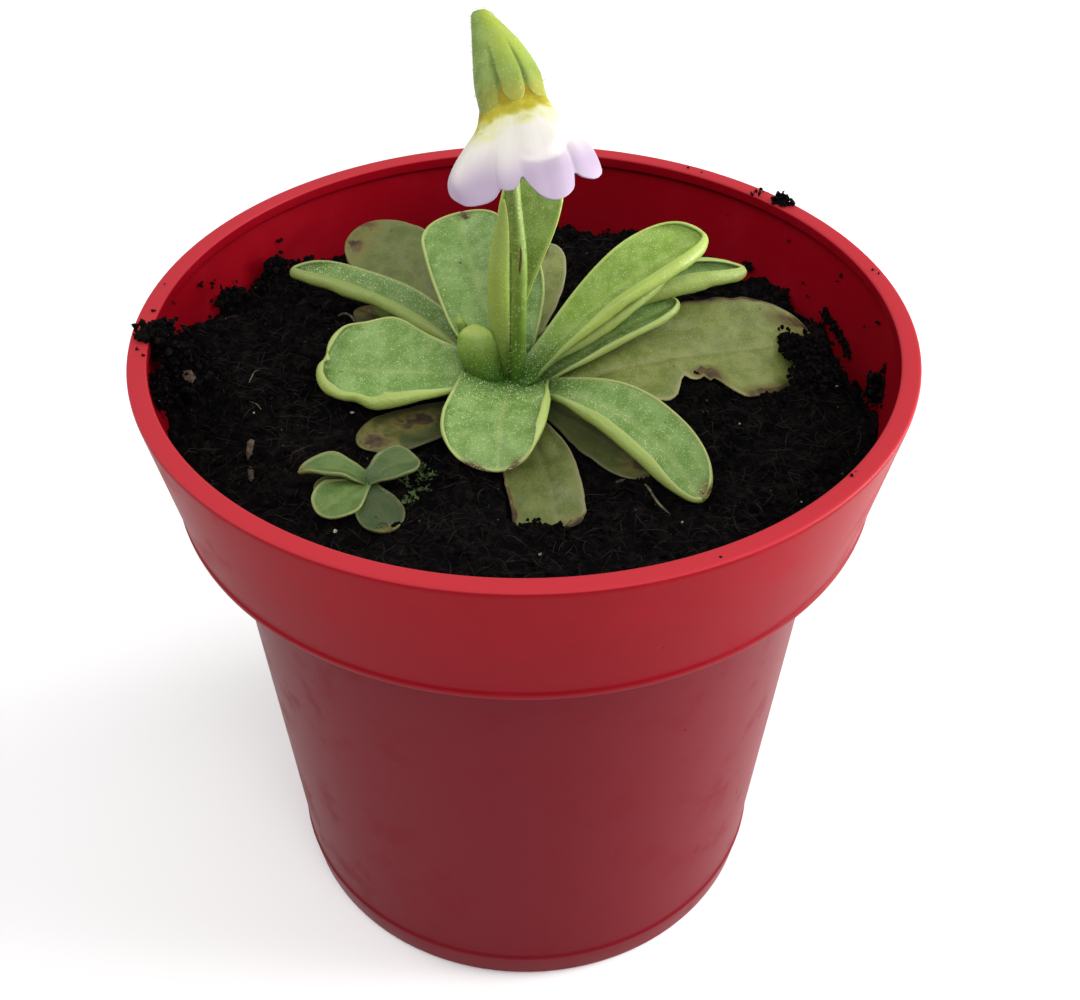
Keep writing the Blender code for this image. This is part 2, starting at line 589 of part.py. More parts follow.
def lobed_cup(name, profile, lobes, steps, rows, group, material):
    """A cup round the flower's axis whose rim goes on in separate lobes.

    Each lobe is (angle, length, width, slope at its foot, slope at its tip): angles round the axis from the
    front in degrees, slopes away from the axis, and a lobe's foot takes its share of the rim.
    """
    centres = np.radians([lobe[0] for lobe in lobes])
    following = np.append(centres[1:], centres[0] + 2 * math.pi)
    after = (centres + following) / 2
    before = np.append(after[-1] - 2 * math.pi, after[:-1])
    share = np.linspace(-1, 1, steps + 1)
    bm = bmesh.new()
    for k, lobe in enumerate(lobes):
        reach = np.where(share < 0, centres[k] - before[k], after[k] - centres[k])
        cup = cup_rings(profile, centres[k] + share * reach)
        add_grid(bm, cup)
        add_grid(bm, lobe_points(lobe, cup[-1], share, rows))
    bmesh.ops.remove_doubles(bm, verts=bm.verts[:], dist=0.00002)
    bmesh.ops.recalc_face_normals(bm, faces=bm.faces[:])
    bmesh.ops.triangulate(bm, faces=bm.faces[:])
    bmesh.ops.dissolve_degenerate(bm, edges=bm.edges[:], dist=0.00001)
    mesh = bpy.data.meshes.new(name)
    bm.to_mesh(mesh)
    bm.free()
    item = add_object(name, mesh, group, material)
    thicken(item, PETAL_BLADE)
    mesh.shade_smooth()


def build_flower(group):
    green = make_material("calyx_green", GREEN, 0.4)
    violet = make_material("petal_violet", PETAL_VIOLET, 0.5)
    lobed_cup("calyx", CALYX_PROFILE, SEPALS, 2, 4, group, green)
    lobed_cup("corolla", COROLLA_PROFILE, PETALS, 4, 6, group, violet)


def build_crumb(name, spec, group, material):
    """A rough lump of soil with a flat underside, lying on the rim."""
    draw = np.random.default_rng(spec["seed"])
    bm = bmesh.new()
    bmesh.ops.create_icosphere(bm, subdivisions=2, radius=1)
    angle = math.radians(spec["angle"])
    middle = RIM_RADIUS - spec["inset"] * MM
    size = np.array(spec["size"]) * MM
    floor = POT_HEIGHT + GAP
    for vert in bm.verts:
        rough = 1 + 0.22 * (draw.random() - 0.5)
        along, out, up = np.array(vert.co) * size * rough
        x = middle * math.cos(angle) + along * math.sin(angle) + out * math.cos(angle)
        y = middle * math.sin(angle) - along * math.cos(angle) + out * math.sin(angle)
        vert.co = (x, y, max(floor, floor + 0.6 * size[2] + up))
    mesh = bpy.data.meshes.new(name)
    bm.to_mesh(mesh)
    bm.free()
    add_object(name, mesh, group, material)


def main():
    clear_scene()
    group = make_collection("potted_butterwort")
    cutters = make_collection("cutters")
    build_pot(group, cutters)
    touched = build_leaves(group)
    plantlet = build_plantlet(group)
    build_soil(group, np.vstack([touched, plantlet]))
    build_crown(group)
    build_scape(group)
    build_flower(group)
    loose = make_material("loose_soil", SOIL_BROWN, 0.95)
    for name, spec in RIM_CRUMBS.items():
        build_crumb(name, spec, group, loose)


main()
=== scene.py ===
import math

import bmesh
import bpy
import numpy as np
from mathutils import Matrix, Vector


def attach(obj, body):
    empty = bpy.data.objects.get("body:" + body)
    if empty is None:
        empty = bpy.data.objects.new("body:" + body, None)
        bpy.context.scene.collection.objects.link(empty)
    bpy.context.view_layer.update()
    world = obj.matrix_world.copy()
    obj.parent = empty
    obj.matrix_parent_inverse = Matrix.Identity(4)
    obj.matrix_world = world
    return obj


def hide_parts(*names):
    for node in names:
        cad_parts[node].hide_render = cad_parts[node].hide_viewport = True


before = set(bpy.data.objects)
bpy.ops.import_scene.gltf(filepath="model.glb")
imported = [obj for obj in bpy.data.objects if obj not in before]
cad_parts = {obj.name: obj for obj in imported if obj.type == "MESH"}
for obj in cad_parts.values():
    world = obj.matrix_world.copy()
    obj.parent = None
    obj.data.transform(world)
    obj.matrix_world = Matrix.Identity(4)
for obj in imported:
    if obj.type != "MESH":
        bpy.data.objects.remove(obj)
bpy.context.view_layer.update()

# %% [markdown]
# # A potted butterwort
# A butterwort is a small plant that catches gnats on its leaves. It sits as a flat rosette in a
# twelve-centimetre plastic pot, with one bare stalk, one nodding flower, and a plantlet that grew from the
# tip of an old leaf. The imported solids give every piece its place. Here each of them gets its fine surface:
# leaves with rolled margins and drops of glue, peat made of crumbs and fibres, and satin plastic.
#
# All shapes below are worked out in millimetres as whole arrays, and turned into metres when a mesh is made.

MM = 0.001
print("solids loaded:", len(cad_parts))

# %% [markdown]
# ## Camera
# The photo was taken from above the pot's front edge, looking down by about forty degrees. A camera can be
# aimed by angles or by a direction. A direction is easier to work out from the photo, so the camera's axes
# are built from the line of sight, with a small roll about it.

# %% Camera
EYE = Vector((0, -199.5, 241.1)) * MM
SIGHT = Vector((0.00941, 0.76869, -0.63955)).normalized()
ROLL = 0.0039
LENS = 51.5
SENSOR = 36
NEAR_CLIP = 0.01


def make_camera():
    """Camera axes: right is sight x up, and both turn about the line of sight by the roll."""
    right = SIGHT.cross(Vector((0, 0, 1))).normalized()
    above = right.cross(SIGHT)
    across = right * math.cos(ROLL) + above * math.sin(ROLL)
    upward = above * math.cos(ROLL) - right * math.sin(ROLL)
    lens = bpy.data.cameras.new("camera")
    lens.lens = LENS
    lens.sensor_width = SENSOR
    lens.sensor_fit = "HORIZONTAL"
    lens.clip_start = NEAR_CLIP
    camera = bpy.data.objects.new("camera", lens)
    camera.matrix_world = Matrix.Translation(EYE) @ Matrix((across, upward, -SIGHT)).transposed().to_4x4()
    bpy.context.scene.collection.objects.link(camera)
    bpy.context.scene.camera = camera
    return camera


print("camera at", [round(c, 3) for c in make_camera().location])

# %% [markdown]
# ## From arrays to meshes
# Every new piece is a grid of points, or several, joined by faces. Python loops over vertices are slow, so
# the points are one array and go into the mesh in one call. A closed piece is checked by its signed volume:
# where that is negative the faces point inwards, and they are all turned over.

# %% Mesh helpers


def smooth_step(s):
    """3s^2 - 2s^3, held at 0 below 0 and at 1 above 1."""
    s = np.clip(s, 0, 1)
    return s * s * (3 - 2 * s)


def grid_faces(rows, columns, wrap=False):
    """Four-sided faces between neighbours of a grid whose points are numbered row by row."""
    r, c = np.meshgrid(np.arange(rows - 1), np.arange(columns if wrap else columns - 1), indexing="ij")
    after = (c + 1) % columns
    corners = [r * columns + c, r * columns + after, (r + 1) * columns + after, (r + 1) * columns + c]
    return np.stack(corners, -1).reshape(-1, 4)


def fan_faces(ring, tip):
    """Triangles between a closed ring of point numbers and one point."""
    return np.stack([ring, np.roll(ring, -1), np.full(len(ring), tip)], -1)


def volume(points, faces):
    """Signed volume: the sum over triangles of a . (b x c) / 6, positive when faces point outwards."""
    total = 0
    for k in range(1, faces.shape[1] - 1):
        a, b, c = points[faces[:, 0]], points[faces[:, k]], points[faces[:, k + 1]]
        total += np.einsum("ij,ij->", a, np.cross(b, c)) / 6
    return total


def repeated(faces, each, count, first=0):
    """The faces of one small body of 'each' points, for 'count' such bodies that follow each other."""
    return (first + faces + each * np.arange(count)[:, None, None]).reshape(-1, faces.shape[1])


def make_mesh(name, points, face_sets, closed=True, smooth=True, marks=None):
    """Makes an object from points in millimetres, sets of faces, and named values for each point."""
    points = np.asarray(points, float).reshape(-1, 3)
    if closed and sum(volume(points, faces) for faces in face_sets) < 0:
        face_sets = [faces[:, ::-1] for faces in face_sets]
    corners = np.concatenate([faces.ravel() for faces in face_sets])
    sizes = np.concatenate([np.full(len(faces), faces.shape[1]) for faces in face_sets])
    mesh = bpy.data.meshes.new(name)
    mesh.vertices.add(len(points))
    mesh.vertices.foreach_set("co", (points * MM).ravel())
    mesh.loops.add(len(corners))
    mesh.loops.foreach_set("vertex_index", corners.astype(np.int32))
    mesh.polygons.add(len(sizes))
    mesh.polygons.foreach_set("loop_start", np.concatenate([[0], np.cumsum(sizes)[:-1]]).astype(np.int32))
    mesh.update(calc_edges=True)
    mesh.validate()
    mesh.polygons.foreach_set("use_smooth", np.full(len(mesh.polygons), smooth))
    for key, values in (marks or {}).items():
        layer = mesh.attributes.new(key, "FLOAT", "POINT")
        layer.data.foreach_set("value", np.ravel(values).astype(np.float32))
    piece = bpy.data.objects.new(name, mesh)
    bpy.context.scene.collection.objects.link(piece)
    return piece


def closed_grid(name, grid, ends, marks=None):
    """Rings of points joined row to row, closed at each end by a fan round one point."""
    rows, sides = grid.shape[:2]
    count = rows * sides
    caps = np.vstack([fan_faces(np.arange(sides)[::-1], count),
                      fan_faces(count - sides + np.arange(sides), count + 1)])
    return make_mesh(name, np.vstack([grid.reshape(-1, 3), ends]),
                     [grid_faces(rows, sides, wrap=True), caps], marks=marks)


def join(pieces, name):
    """Puts several pieces into one object."""
    with bpy.context.temp_override(active_object=pieces[0], selected_editable_objects=pieces):
        bpy.ops.object.join()
    pieces[0].name = name
    return pieces[0]


TALLY = {}


def settle(piece, material, slot, *nodes):
    """Gives a finished piece its material and its body, and hides the solids it stands for; 'slot' is not used."""
    piece.data.materials.clear()
    piece.data.materials.append(material)
    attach(piece, "root")
    if nodes:
        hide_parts(*nodes)
    TALLY[piece.name] = sum(len(face.vertices) - 2 for face in piece.data.polygons)
    print(f"{piece.name}: {TALLY[piece.name]} triangles")
    return piece


# %% [markdown]
# ## Roughness from lattice noise
# Peat, leaves and plastic are all a little uneven. A noise function has to give the same value each time the
# script runs, so it reads random heights from a seeded lattice and blends between them.

# %% Noise
LATTICE = 64


def noise(x, y, size, seed):
    """Heights from -1 to 1 on a square lattice 'size' wide, blended with smooth steps in between."""
    heights = np.random.default_rng(seed).uniform(-1, 1, (LATTICE, LATTICE))
    i, j = np.floor(x / size).astype(int), np.floor(y / size).astype(int)
    s, t = smooth_step(x / size - i), smooth_step(y / size - j)
    low = heights[i % LATTICE, j % LATTICE] * (1 - s) + heights[(i + 1) % LATTICE, j % LATTICE] * s
    high = heights[i % LATTICE, (j + 1) % LATTICE] * (1 - s) + heights[(i + 1) % LATTICE, (j + 1) % LATTICE] * s
    return low * (1 - t) + high * t


def roughness_sum(x, y, size, seed, layers=3, share=0.5):
    """Noise plus noise at half the size and a share of the height, and so on."""
    return sum(noise(x + 7.3 * k, y - 4.1 * k, size / 2 ** k, seed + k) * share ** k for k in range(layers))


# %% [markdown]
# ## Shader building blocks
# Materials are made of nodes. Short helpers keep them readable: they add a node and fill its sockets, lay
# colours over each other, or set up a node group. Colours are written the way a colour picker shows them,
# from 0 to 255, and turned into the linear values that the shader works with.

# %% Node helpers


def colour(red, green, blue):
    """Linear red, green, blue and alpha of a colour given as 0 to 255 values."""
    shares = [value / 255 for value in (red, green, blue)]
    return (*[s / 12.92 if s <= 0.04045 else ((s + 0.055) / 1.055) ** 2.4 for s in shares], 1)


def put(tree, kind, sockets=None, **settings):
    """Adds a node, sets its properties, and fills or links its sockets by name or number."""
    item = tree.nodes.new(kind)
    for key, value in settings.items():
        setattr(item, key, value)
    for key, value in (sockets or {}).items():
        if isinstance(value, bpy.types.NodeSocket):
            tree.links.new(value, item.inputs[key])
        else:
            item.inputs[key].default_value = value
    return item


def mixed(tree, share, first, second, amount=1):
    """The colour between two others, by a share times an amount."""
    share = share if amount == 1 else scaled(tree, share, amount)
    return put(tree, "ShaderNodeMix", {0: share, 6: first, 7: second}, data_type="RGBA").outputs[2]


def layered(tree, base, *layers):
    """Colours laid over a base: each layer is a share, a colour and, where it isn't 1, an amount."""
    for share, tint, *amount in layers:
        base = mixed(tree, share, base, tint, *amount)
    return base


def ranged(tree, value, low, high, out_low=0.0, out_high=1.0):
    """Maps low..high to out_low..out_high by a smooth step."""
    item = put(tree, "ShaderNodeMapRange", {0: value, 1: low, 2: high, 3: out_low, 4: out_high},
               interpolation_type="SMOOTHSTEP")
    return item.outputs[0]


def sums(tree, operation, first, second):
    """Two values joined by a sum, a product or another operation of the Math node."""
    return put(tree, "ShaderNodeMath", {0: first, 1: second}, operation=operation).outputs[0]


def scaled(tree, value, factor):
    """A value times a factor."""
    return sums(tree, "MULTIPLY", value, factor)


def mark(tree, name):
    """A value that is stored on the mesh's points."""
    return put(tree, "ShaderNodeAttribute", attribute_name=name).outputs["Fac"]


def place_socket(tree):
    """The place on the piece, in metres."""
    return put(tree, "ShaderNodeTexCoord").outputs["Object"]


def height_socket(tree):
    """The height of a place on the piece, in metres."""
    return put(tree, "ShaderNodeSeparateXYZ", {0: place_socket(tree)}).outputs[2]


def noise_socket(tree, size, **sockets):
    """Noise from 0 to 1 in cells of 'size' millimetres: the texture's scale is the number of cells in a metre."""
    scale = sums(tree, "DIVIDE", 1 / MM, size)
    return put(tree, "ShaderNodeTexNoise", {"Vector": place_socket(tree), "Scale": scale, **sockets}).outputs[0]


def new_group(name, inputs, outputs):
    """A shader node group with float or colour sockets; a tuple as default makes a colour socket."""
    tree = bpy.data.node_groups.new(name, "ShaderNodeTree")
    for key, default in inputs.items():
        kind = "NodeSocketColor" if isinstance(default, tuple) else "NodeSocketFloat"
        tree.interface.new_socket(key, in_out="INPUT", socket_type=kind).default_value = default
    for key, kind in outputs.items():
        tree.interface.new_socket(key, in_out="OUTPUT", socket_type="NodeSocket" + kind)
    return tree, tree.nodes.new("NodeGroupInput").outputs, tree.nodes.new("NodeGroupOutput").inputs


def use_group(tree, group, **values):
    """Places a group in a material; underscores in a keyword stand for spaces in the socket's name."""
    sockets = {key.replace("_", " "): value for key, value in values.items()}
    return put(tree, "ShaderNodeGroup", sockets, node_tree=group).outputs


def new_material(name, **constants):
    """A Principled material; constants are set on its own sockets."""
    material = bpy.data.materials.new(name)
    material.use_nodes = True
    shader = material.node_tree.nodes["Principled BSDF"]
    for key, value in constants.items():
        shader.inputs[key.replace("_", " ")].default_value = value
    return material, material.node_tree, shader.inputs


# %% [markdown]
# ## Effects that several finishes share
# Three effects come back on many surfaces. *Patches* are soft blotches of a second colour. *Specks* are small
# sharp spots, such as grit and glands. *Grain* is a fine uneven height for the Bump node. Each is a node group,
# built once and used with its own sizes.

# %% Shared node groups


def patches_group():
    """Mask: soft noise in cells of 'Size' millimetres, 0 below 'Low' and 1 above 'High'."""
    tree, given, out = new_group("Patches", {"Size": 5.0, "Low": 0.45, "High": 0.6}, {"Mask": "Float"})
    spots = noise_socket(tree, given["Size"], Detail=4.0, Roughness=0.6)
    tree.links.new(ranged(tree, spots, given["Low"], given["High"]), out["Mask"])
    return tree


def specks_group():
    """Mask: 1 near the middles of a 'Share' of all cells; 'Reach' is a spot's radius as a share of 'Size'."""
    tree, given, out = new_group("Specks", {"Size": 1.0, "Reach": 0.2, "Share": 0.3}, {"Mask": "Float"})
    scale = sums(tree, "DIVIDE", 1 / MM, given["Size"])
    cells = put(tree, "ShaderNodeTexVoronoi", {"Vector": place_socket(tree), "Scale": scale})
    near = ranged(tree, cells.outputs["Distance"], given["Reach"], scaled(tree, given["Reach"], 0.6))
    chosen = put(tree, "ShaderNodeSeparateColor", {0: cells.outputs["Color"]}).outputs[0]
    tree.links.new(sums(tree, "MULTIPLY", near, sums(tree, "LESS_THAN", chosen, given["Share"])), out["Mask"])
    return tree


def grain_group():
    """Height: fine noise in cells of 'Size', plus 'Swell' times broad noise in cells of 'Swell Size'."""
    tree, given, out = new_group("Grain", {"Size": 0.4, "Swell Size": 6.0, "Swell": 0.5}, {"Height": "Float"})
    fine = noise_socket(tree, given["Size"], Detail=3.0)
    broad = noise_socket(tree, given["Swell Size"], Detail=1.0)
    tree.links.new(sums(tree, "ADD", fine, sums(tree, "MULTIPLY", broad, given["Swell"])), out["Height"])
    return tree


PATCHES = patches_group()
SPECKS = specks_group()
GRAIN = grain_group()
print("shared groups:", PATCHES.name, SPECKS.name, GRAIN.name)


def patches(tree, size, low, high):
    """The mask of soft blotches."""
    return use_group(tree, PATCHES, Size=size, Low=low, High=high)["Mask"]


def specks(tree, size, reach, share):
    """The mask of small sharp spots."""
    return use_group(tree, SPECKS, Size=size, Reach=reach, Share=share)["Mask"]


def grain(tree, size, swell_size, swell):
    """The height of a fine uneven surface."""
    return use_group(tree, GRAIN, Size=size, Swell_Size=swell_size, Swell=swell)["Height"]


def two_tone(name, size, first, second, low=0.4, high=0.6, **constants):
    """A material with soft blotches of a second colour, and its tree and sockets for whatever is added."""
    material, tree, shader = new_material(name, **constants)
    tree.links.new(mixed(tree, patches(tree, size, low, high), first, second), shader["Base Color"])
    return material, tree, shader


def bumped(tree, shader, height, strength, depth):
    """Feeds a height in shares of 'depth' millimetres to the shader's normal."""
    bump = put(tree, "ShaderNodeBump", {"Height": height, "Strength": strength, "Distance": depth * MM})
    tree.links.new(bump.outputs[0], shader["Normal"])


# %% [markdown]
# ## The pot
# The pot is injection-moulded plastic: a tapered body, a deep band that steps out over it, and a flat lip.
# A turned shape could be a Screw modifier, but a profile carried round in an array gives the same shape with
# real rounded corners. The drain holes in the floor are cut with a Boolean, because they aren't round the axis.

# %% Pot shape
POT_HEIGHT = 110.0
RIM_RADIUS = 60.0
RIM_LIP = 3.0
BAND_HEIGHT = 24.0
BAND_FOOT_RADIUS = 55.3
BODY_TOP_RADIUS = 49.3
BASE_RADIUS = 42.0
POT_WALL = 1.5
FLOOR_HEIGHT = 3.5
FLOOR_THICKNESS = 1.8
FOOT_WIDTH = 3.0
FOOT_LINE_HEIGHT = 6.0
DRAIN_HOLES = 8
DRAIN_RADIUS = 4.0
DRAIN_CIRCLE = 26.0
POT_SIDES = 288
RAISED_LINE = 0.35
CORNER_RADIUS = 0.3
LIP_DEPTH = 2.6
CUTTER_SIDES = 32
CUTTER_DEPTH = 8.0
SHARP_ANGLE = 50
BAND_FOOT = POT_HEIGHT - BAND_HEIGHT


def band_radius(z):
    """Outer radius of the band: a straight taper from the rim to the band's foot."""
    return RIM_RADIUS + (BAND_FOOT_RADIUS - RIM_RADIUS) * (POT_HEIGHT - z) / BAND_HEIGHT


def body_radius(z):
    """Outer radius of the body: a straight taper from under the band to the foot."""
    return BASE_RADIUS + (BODY_TOP_RADIUS - BASE_RADIUS) * z / BAND_FOOT


def rounded(profile, radius, steps=4):
    """Rounds each corner by a quadratic curve between the points 'radius' before and after it."""
    points = np.array(profile, float)
    before, corner, after = points[:-2], points[1:-1], points[2:]

    def towards(target):
        """The point 'radius' from a corner on the way to its neighbour, but not past 45% of that way."""
        way = target - corner
        length = np.linalg.norm(way, axis=1, keepdims=True)
        return corner + way * np.minimum(radius / length, 0.45)

    first, last = towards(before), towards(after)
    t = np.linspace(0, 1, steps)[None, :, None]
    curve = first[:, None] * (1 - t) ** 2 + 2 * corner[:, None] * t * (1 - t) + last[:, None] * t ** 2
    return np.vstack([points[:1], curve.reshape(-1, 2), points[-1:]])


def turned_points(profile, sides):
    """Points (r cos a, r sin a, z) for each profile point (r, z) and each angle a."""
    angle = np.arange(sides) * 2 * np.pi / sides
    radius, height = np.array(profile).T
    return np.stack([radius[:, None] * np.cos(angle), radius[:, None] * np.sin(angle),
                     np.repeat(height[:, None], sides, 1)], -1)


def turned_piece(name, profile, sides):
    """A closed turned piece; the profile's two ends become single points on the axis."""
    return closed_grid(name, turned_points(profile[1:-1], sides), [[0, 0, profile[k][1]] for k in (0, -1)])


def pot_profile():
    """Radius and height of each corner, from the middle of the floor over the rim to the middle underneath."""
    line = RAISED_LINE
    lip_foot = POT_HEIGHT - LIP_DEPTH
    return [
        (0, FLOOR_HEIGHT),
        (body_radius(FLOOR_HEIGHT) - POT_WALL, FLOOR_HEIGHT),
        (body_radius(BAND_FOOT) - POT_WALL, BAND_FOOT + POT_WALL),
        (band_radius(BAND_FOOT) - POT_WALL - 1, BAND_FOOT + POT_WALL),
        (band_radius(BAND_FOOT + 3) - POT_WALL, BAND_FOOT + 3),
        (band_radius(lip_foot) - POT_WALL, lip_foot),
        (RIM_RADIUS - RIM_LIP, lip_foot + 0.6),
        (RIM_RADIUS - RIM_LIP, POT_HEIGHT - 0.2),
        (RIM_RADIUS - RIM_LIP + 0.2, POT_HEIGHT),
        (RIM_RADIUS - 0.25, POT_HEIGHT),
        (RIM_RADIUS, POT_HEIGHT - 0.3),
        (RIM_RADIUS - 0.02, POT_HEIGHT - 0.9),
        (band_radius(BAND_FOOT + 1.5), BAND_FOOT + 1.5),
        (band_radius(BAND_FOOT + 1.1) + line, BAND_FOOT + 1.1),
        (band_radius(BAND_FOOT) + line, BAND_FOOT),
        (body_radius(BAND_FOOT), BAND_FOOT),
        (body_radius(FOOT_LINE_HEIGHT + 0.7), FOOT_LINE_HEIGHT + 0.7),
        (body_radius(FOOT_LINE_HEIGHT) + line, FOOT_LINE_HEIGHT),
        (BASE_RADIUS, 0.9),
        (BASE_RADIUS - 0.7, 0),
        (BASE_RADIUS - FOOT_WIDTH, 0),
        (BASE_RADIUS - FOOT_WIDTH - 0.6, FLOOR_HEIGHT - FLOOR_THICKNESS),
        (0, FLOOR_HEIGHT - FLOOR_THICKNESS),
    ]


def cut_holes(piece):
    """Cuts the ring of drain holes out of the pot's floor."""
    cutter = bmesh.new()
    for k in range(DRAIN_HOLES):
        angle = 2 * math.pi * k / DRAIN_HOLES
        middle = Vector((DRAIN_CIRCLE * math.cos(angle), DRAIN_CIRCLE * math.sin(angle), FLOOR_HEIGHT)) * MM
        bmesh.ops.create_cone(cutter, cap_ends=True, segments=CUTTER_SIDES, radius1=DRAIN_RADIUS * MM,
                              radius2=DRAIN_RADIUS * MM, depth=CUTTER_DEPTH * MM,
                              matrix=Matrix.Translation(middle))
    mesh = bpy.data.meshes.new("drain_cutter")
    cutter.to_mesh(mesh)
    cutter.free()
    tool = bpy.data.objects.new("drain_cutter", mesh)
    bpy.context.scene.collection.objects.link(tool)
    cut = piece.modifiers.new("Drain holes", "BOOLEAN")
    cut.object = tool
    cut.operation = "DIFFERENCE"
    bpy.context.view_layer.update()
    result = bpy.data.meshes.new_from_object(piece.evaluated_get(bpy.context.evaluated_depsgraph_get()))
    piece.modifiers.clear()
    piece.data = result
    bpy.data.objects.remove(tool, do_unlink=True)
    result.shade_smooth()
    result.set_sharp_from_angle(angle=math.radians(SHARP_ANGLE))


# %% [markdown]
# Satin plastic has a nearly even colour, so its life comes from the surface: a fine moulded grain, a slow swell that
# bends reflections, dull handling marks, and grains of peat that stick to it. The red is duller towards the band's
# foot and below it, a painted shade where less of the sky is seen, and paler on top of the lip, a painted highlight
# where the light falls on it.

# %% Pot finish
RED = colour(130, 5, 19)
RED_WORN = colour(136, 9, 25)
# painted shade: the duller red down the band and under it
RED_DULL = colour(96, 9, 22)
# painted highlight: the paler red on top of the lip, where light falls
RED_LIP_HIGHLIGHT = colour(172, 46, 54)
PEAT_DARK = colour(20, 15, 15)
# heights in metres between which the red changes: painted shade down the band and under the band, and a painted
# highlight on top of the lip
DOWN_THE_BAND = (0.1085, 0.088)
UNDER_THE_BAND = (0.0862, 0.0858)
ON_THE_LIP = (0.1096, 0.10985)


def plastic_material():
    """Red with painted shade down the band and under it and a painted highlight on the lip, with worn patches and
    stuck grit.
    """
    material, tree, shader = new_material("red_plastic", Specular_IOR_Level=0.05)
    worn = patches(tree, 9.0, 0.45, 0.75)
    grit = specks(tree, 6.0, 0.05, 0.16)
    height = height_socket(tree)
    below = scaled(tree, ranged(tree, height, *DOWN_THE_BAND), 0.3)
    below = sums(tree, "ADD", below, ranged(tree, height, *UNDER_THE_BAND, 0.0, 0.6))
    body = layered(tree, RED, (worn, RED_WORN), (below, RED_DULL),
                   (ranged(tree, height, *ON_THE_LIP), RED_LIP_HIGHLIGHT), (grit, PEAT_DARK))
    tree.links.new(body, shader["Base Color"])
    dull = ranged(tree, worn, 0.0, 1.0, 0.36, 0.46)
    tree.links.new(sums(tree, "ADD", dull, scaled(tree, grit, 0.4)), shader["Roughness"])
    bumped(tree, shader, grain(tree, 0.35, 14.0, 2.0), 0.5, 0.03)
    return material


pot = turned_piece("pot_shell", rounded(pot_profile(), CORNER_RADIUS), POT_SIDES)
cut_holes(pot)
settle(pot, plastic_material(), "pot_plastic", "pot")

# %% [markdown]
# ## One leaf
# A butterwort leaf is a fleshy blade whose margins roll up and inwards, so that a caught gnat can't leave.
# Sculpting twenty of them would be slow and uneven. Each is one formula instead, with its own row of values.
# The leaf is first drawn flat, as an outline. Then three things happen to it: the strip along its margin is
# rolled up like the edge of a sheet of paper, the blade is cupped across, and the whole is laid along a midrib
# that follows a heading and a slope. The midrib and the widths are those of the solids, so each leaf keeps its
# place. The feet are broader than the solids' and run on into the crown, as on the real plant.

# %% Leaf values
CROWN_X = -2.0
CROWN_Y = 0.5
LOW_RING = 5.1
MIDDLE_RING = 4.1
HIGH_RING = 3.1
LEAF_DEFAULTS = {
    "widest": 0.6,          # share of the length at which the leaf is widest
    "neck": 0.35,           # width at the foot, as a share of the width
    "reach": (1, 1),        # scale of the left and the right half's width
    "slim": (0, 0),         # share taken off the left and the right half at the foot, fading out towards the tip
    "blunt": 2.4,           # how square the tip is
    "thickness": 0.8,
    "cup": 10,              # slope at the margin of a blade that is bent up like a trough
    "channel": 28,          # how much more the foot is cupped
    "twist": 0,             # turn about the midrib, up on the left
    "wave": 0.2,            # height of the waves along the margin
    "curl": ((90, 0.35),) * 3,     # angle and radius of the rolled margin on the left, at the tip and on the right
    "bay": None,            # a torn place on the right: along, half length, depth as a share of the half width
    "pleat": None,          # a pushed-in place on the left: along, half length, depth
    "notch": None,          # a torn place in the tip: across, half width, depth
    "dry": (),              # brown patches: along, across as a share of the half width, half length, half width
    "shade": 0.0,           # how much darker a leaf is: dirt on old and dying leaves, and painted shade where it lies low under others
    "age": "grown",
}


def leaf(ring, at, z, heading, turn, rise, length, width, **given):
    """One leaf: angles in degrees, sizes in millimetres.

    'ring', 'at' and 'z' are the radius, the angle and the height at which it leaves the crown. 'heading' is where
    it points, 0 for +X and 90 for +Y, and 'turn' how far it has turned away from that at its tip. 'rise' is its
    slope at the foot, the middle and the tip. Any of LEAF_DEFAULTS can be given as well. 'root' is how far the
    foot runs on into the crown.
    """
    place = dict(ring=ring, at=at, z=z, heading=heading, turn=turn, rise=rise, length=length, width=width,
                 root=max(ring - 0.8, 0.3))
    return LEAF_DEFAULTS | place | given


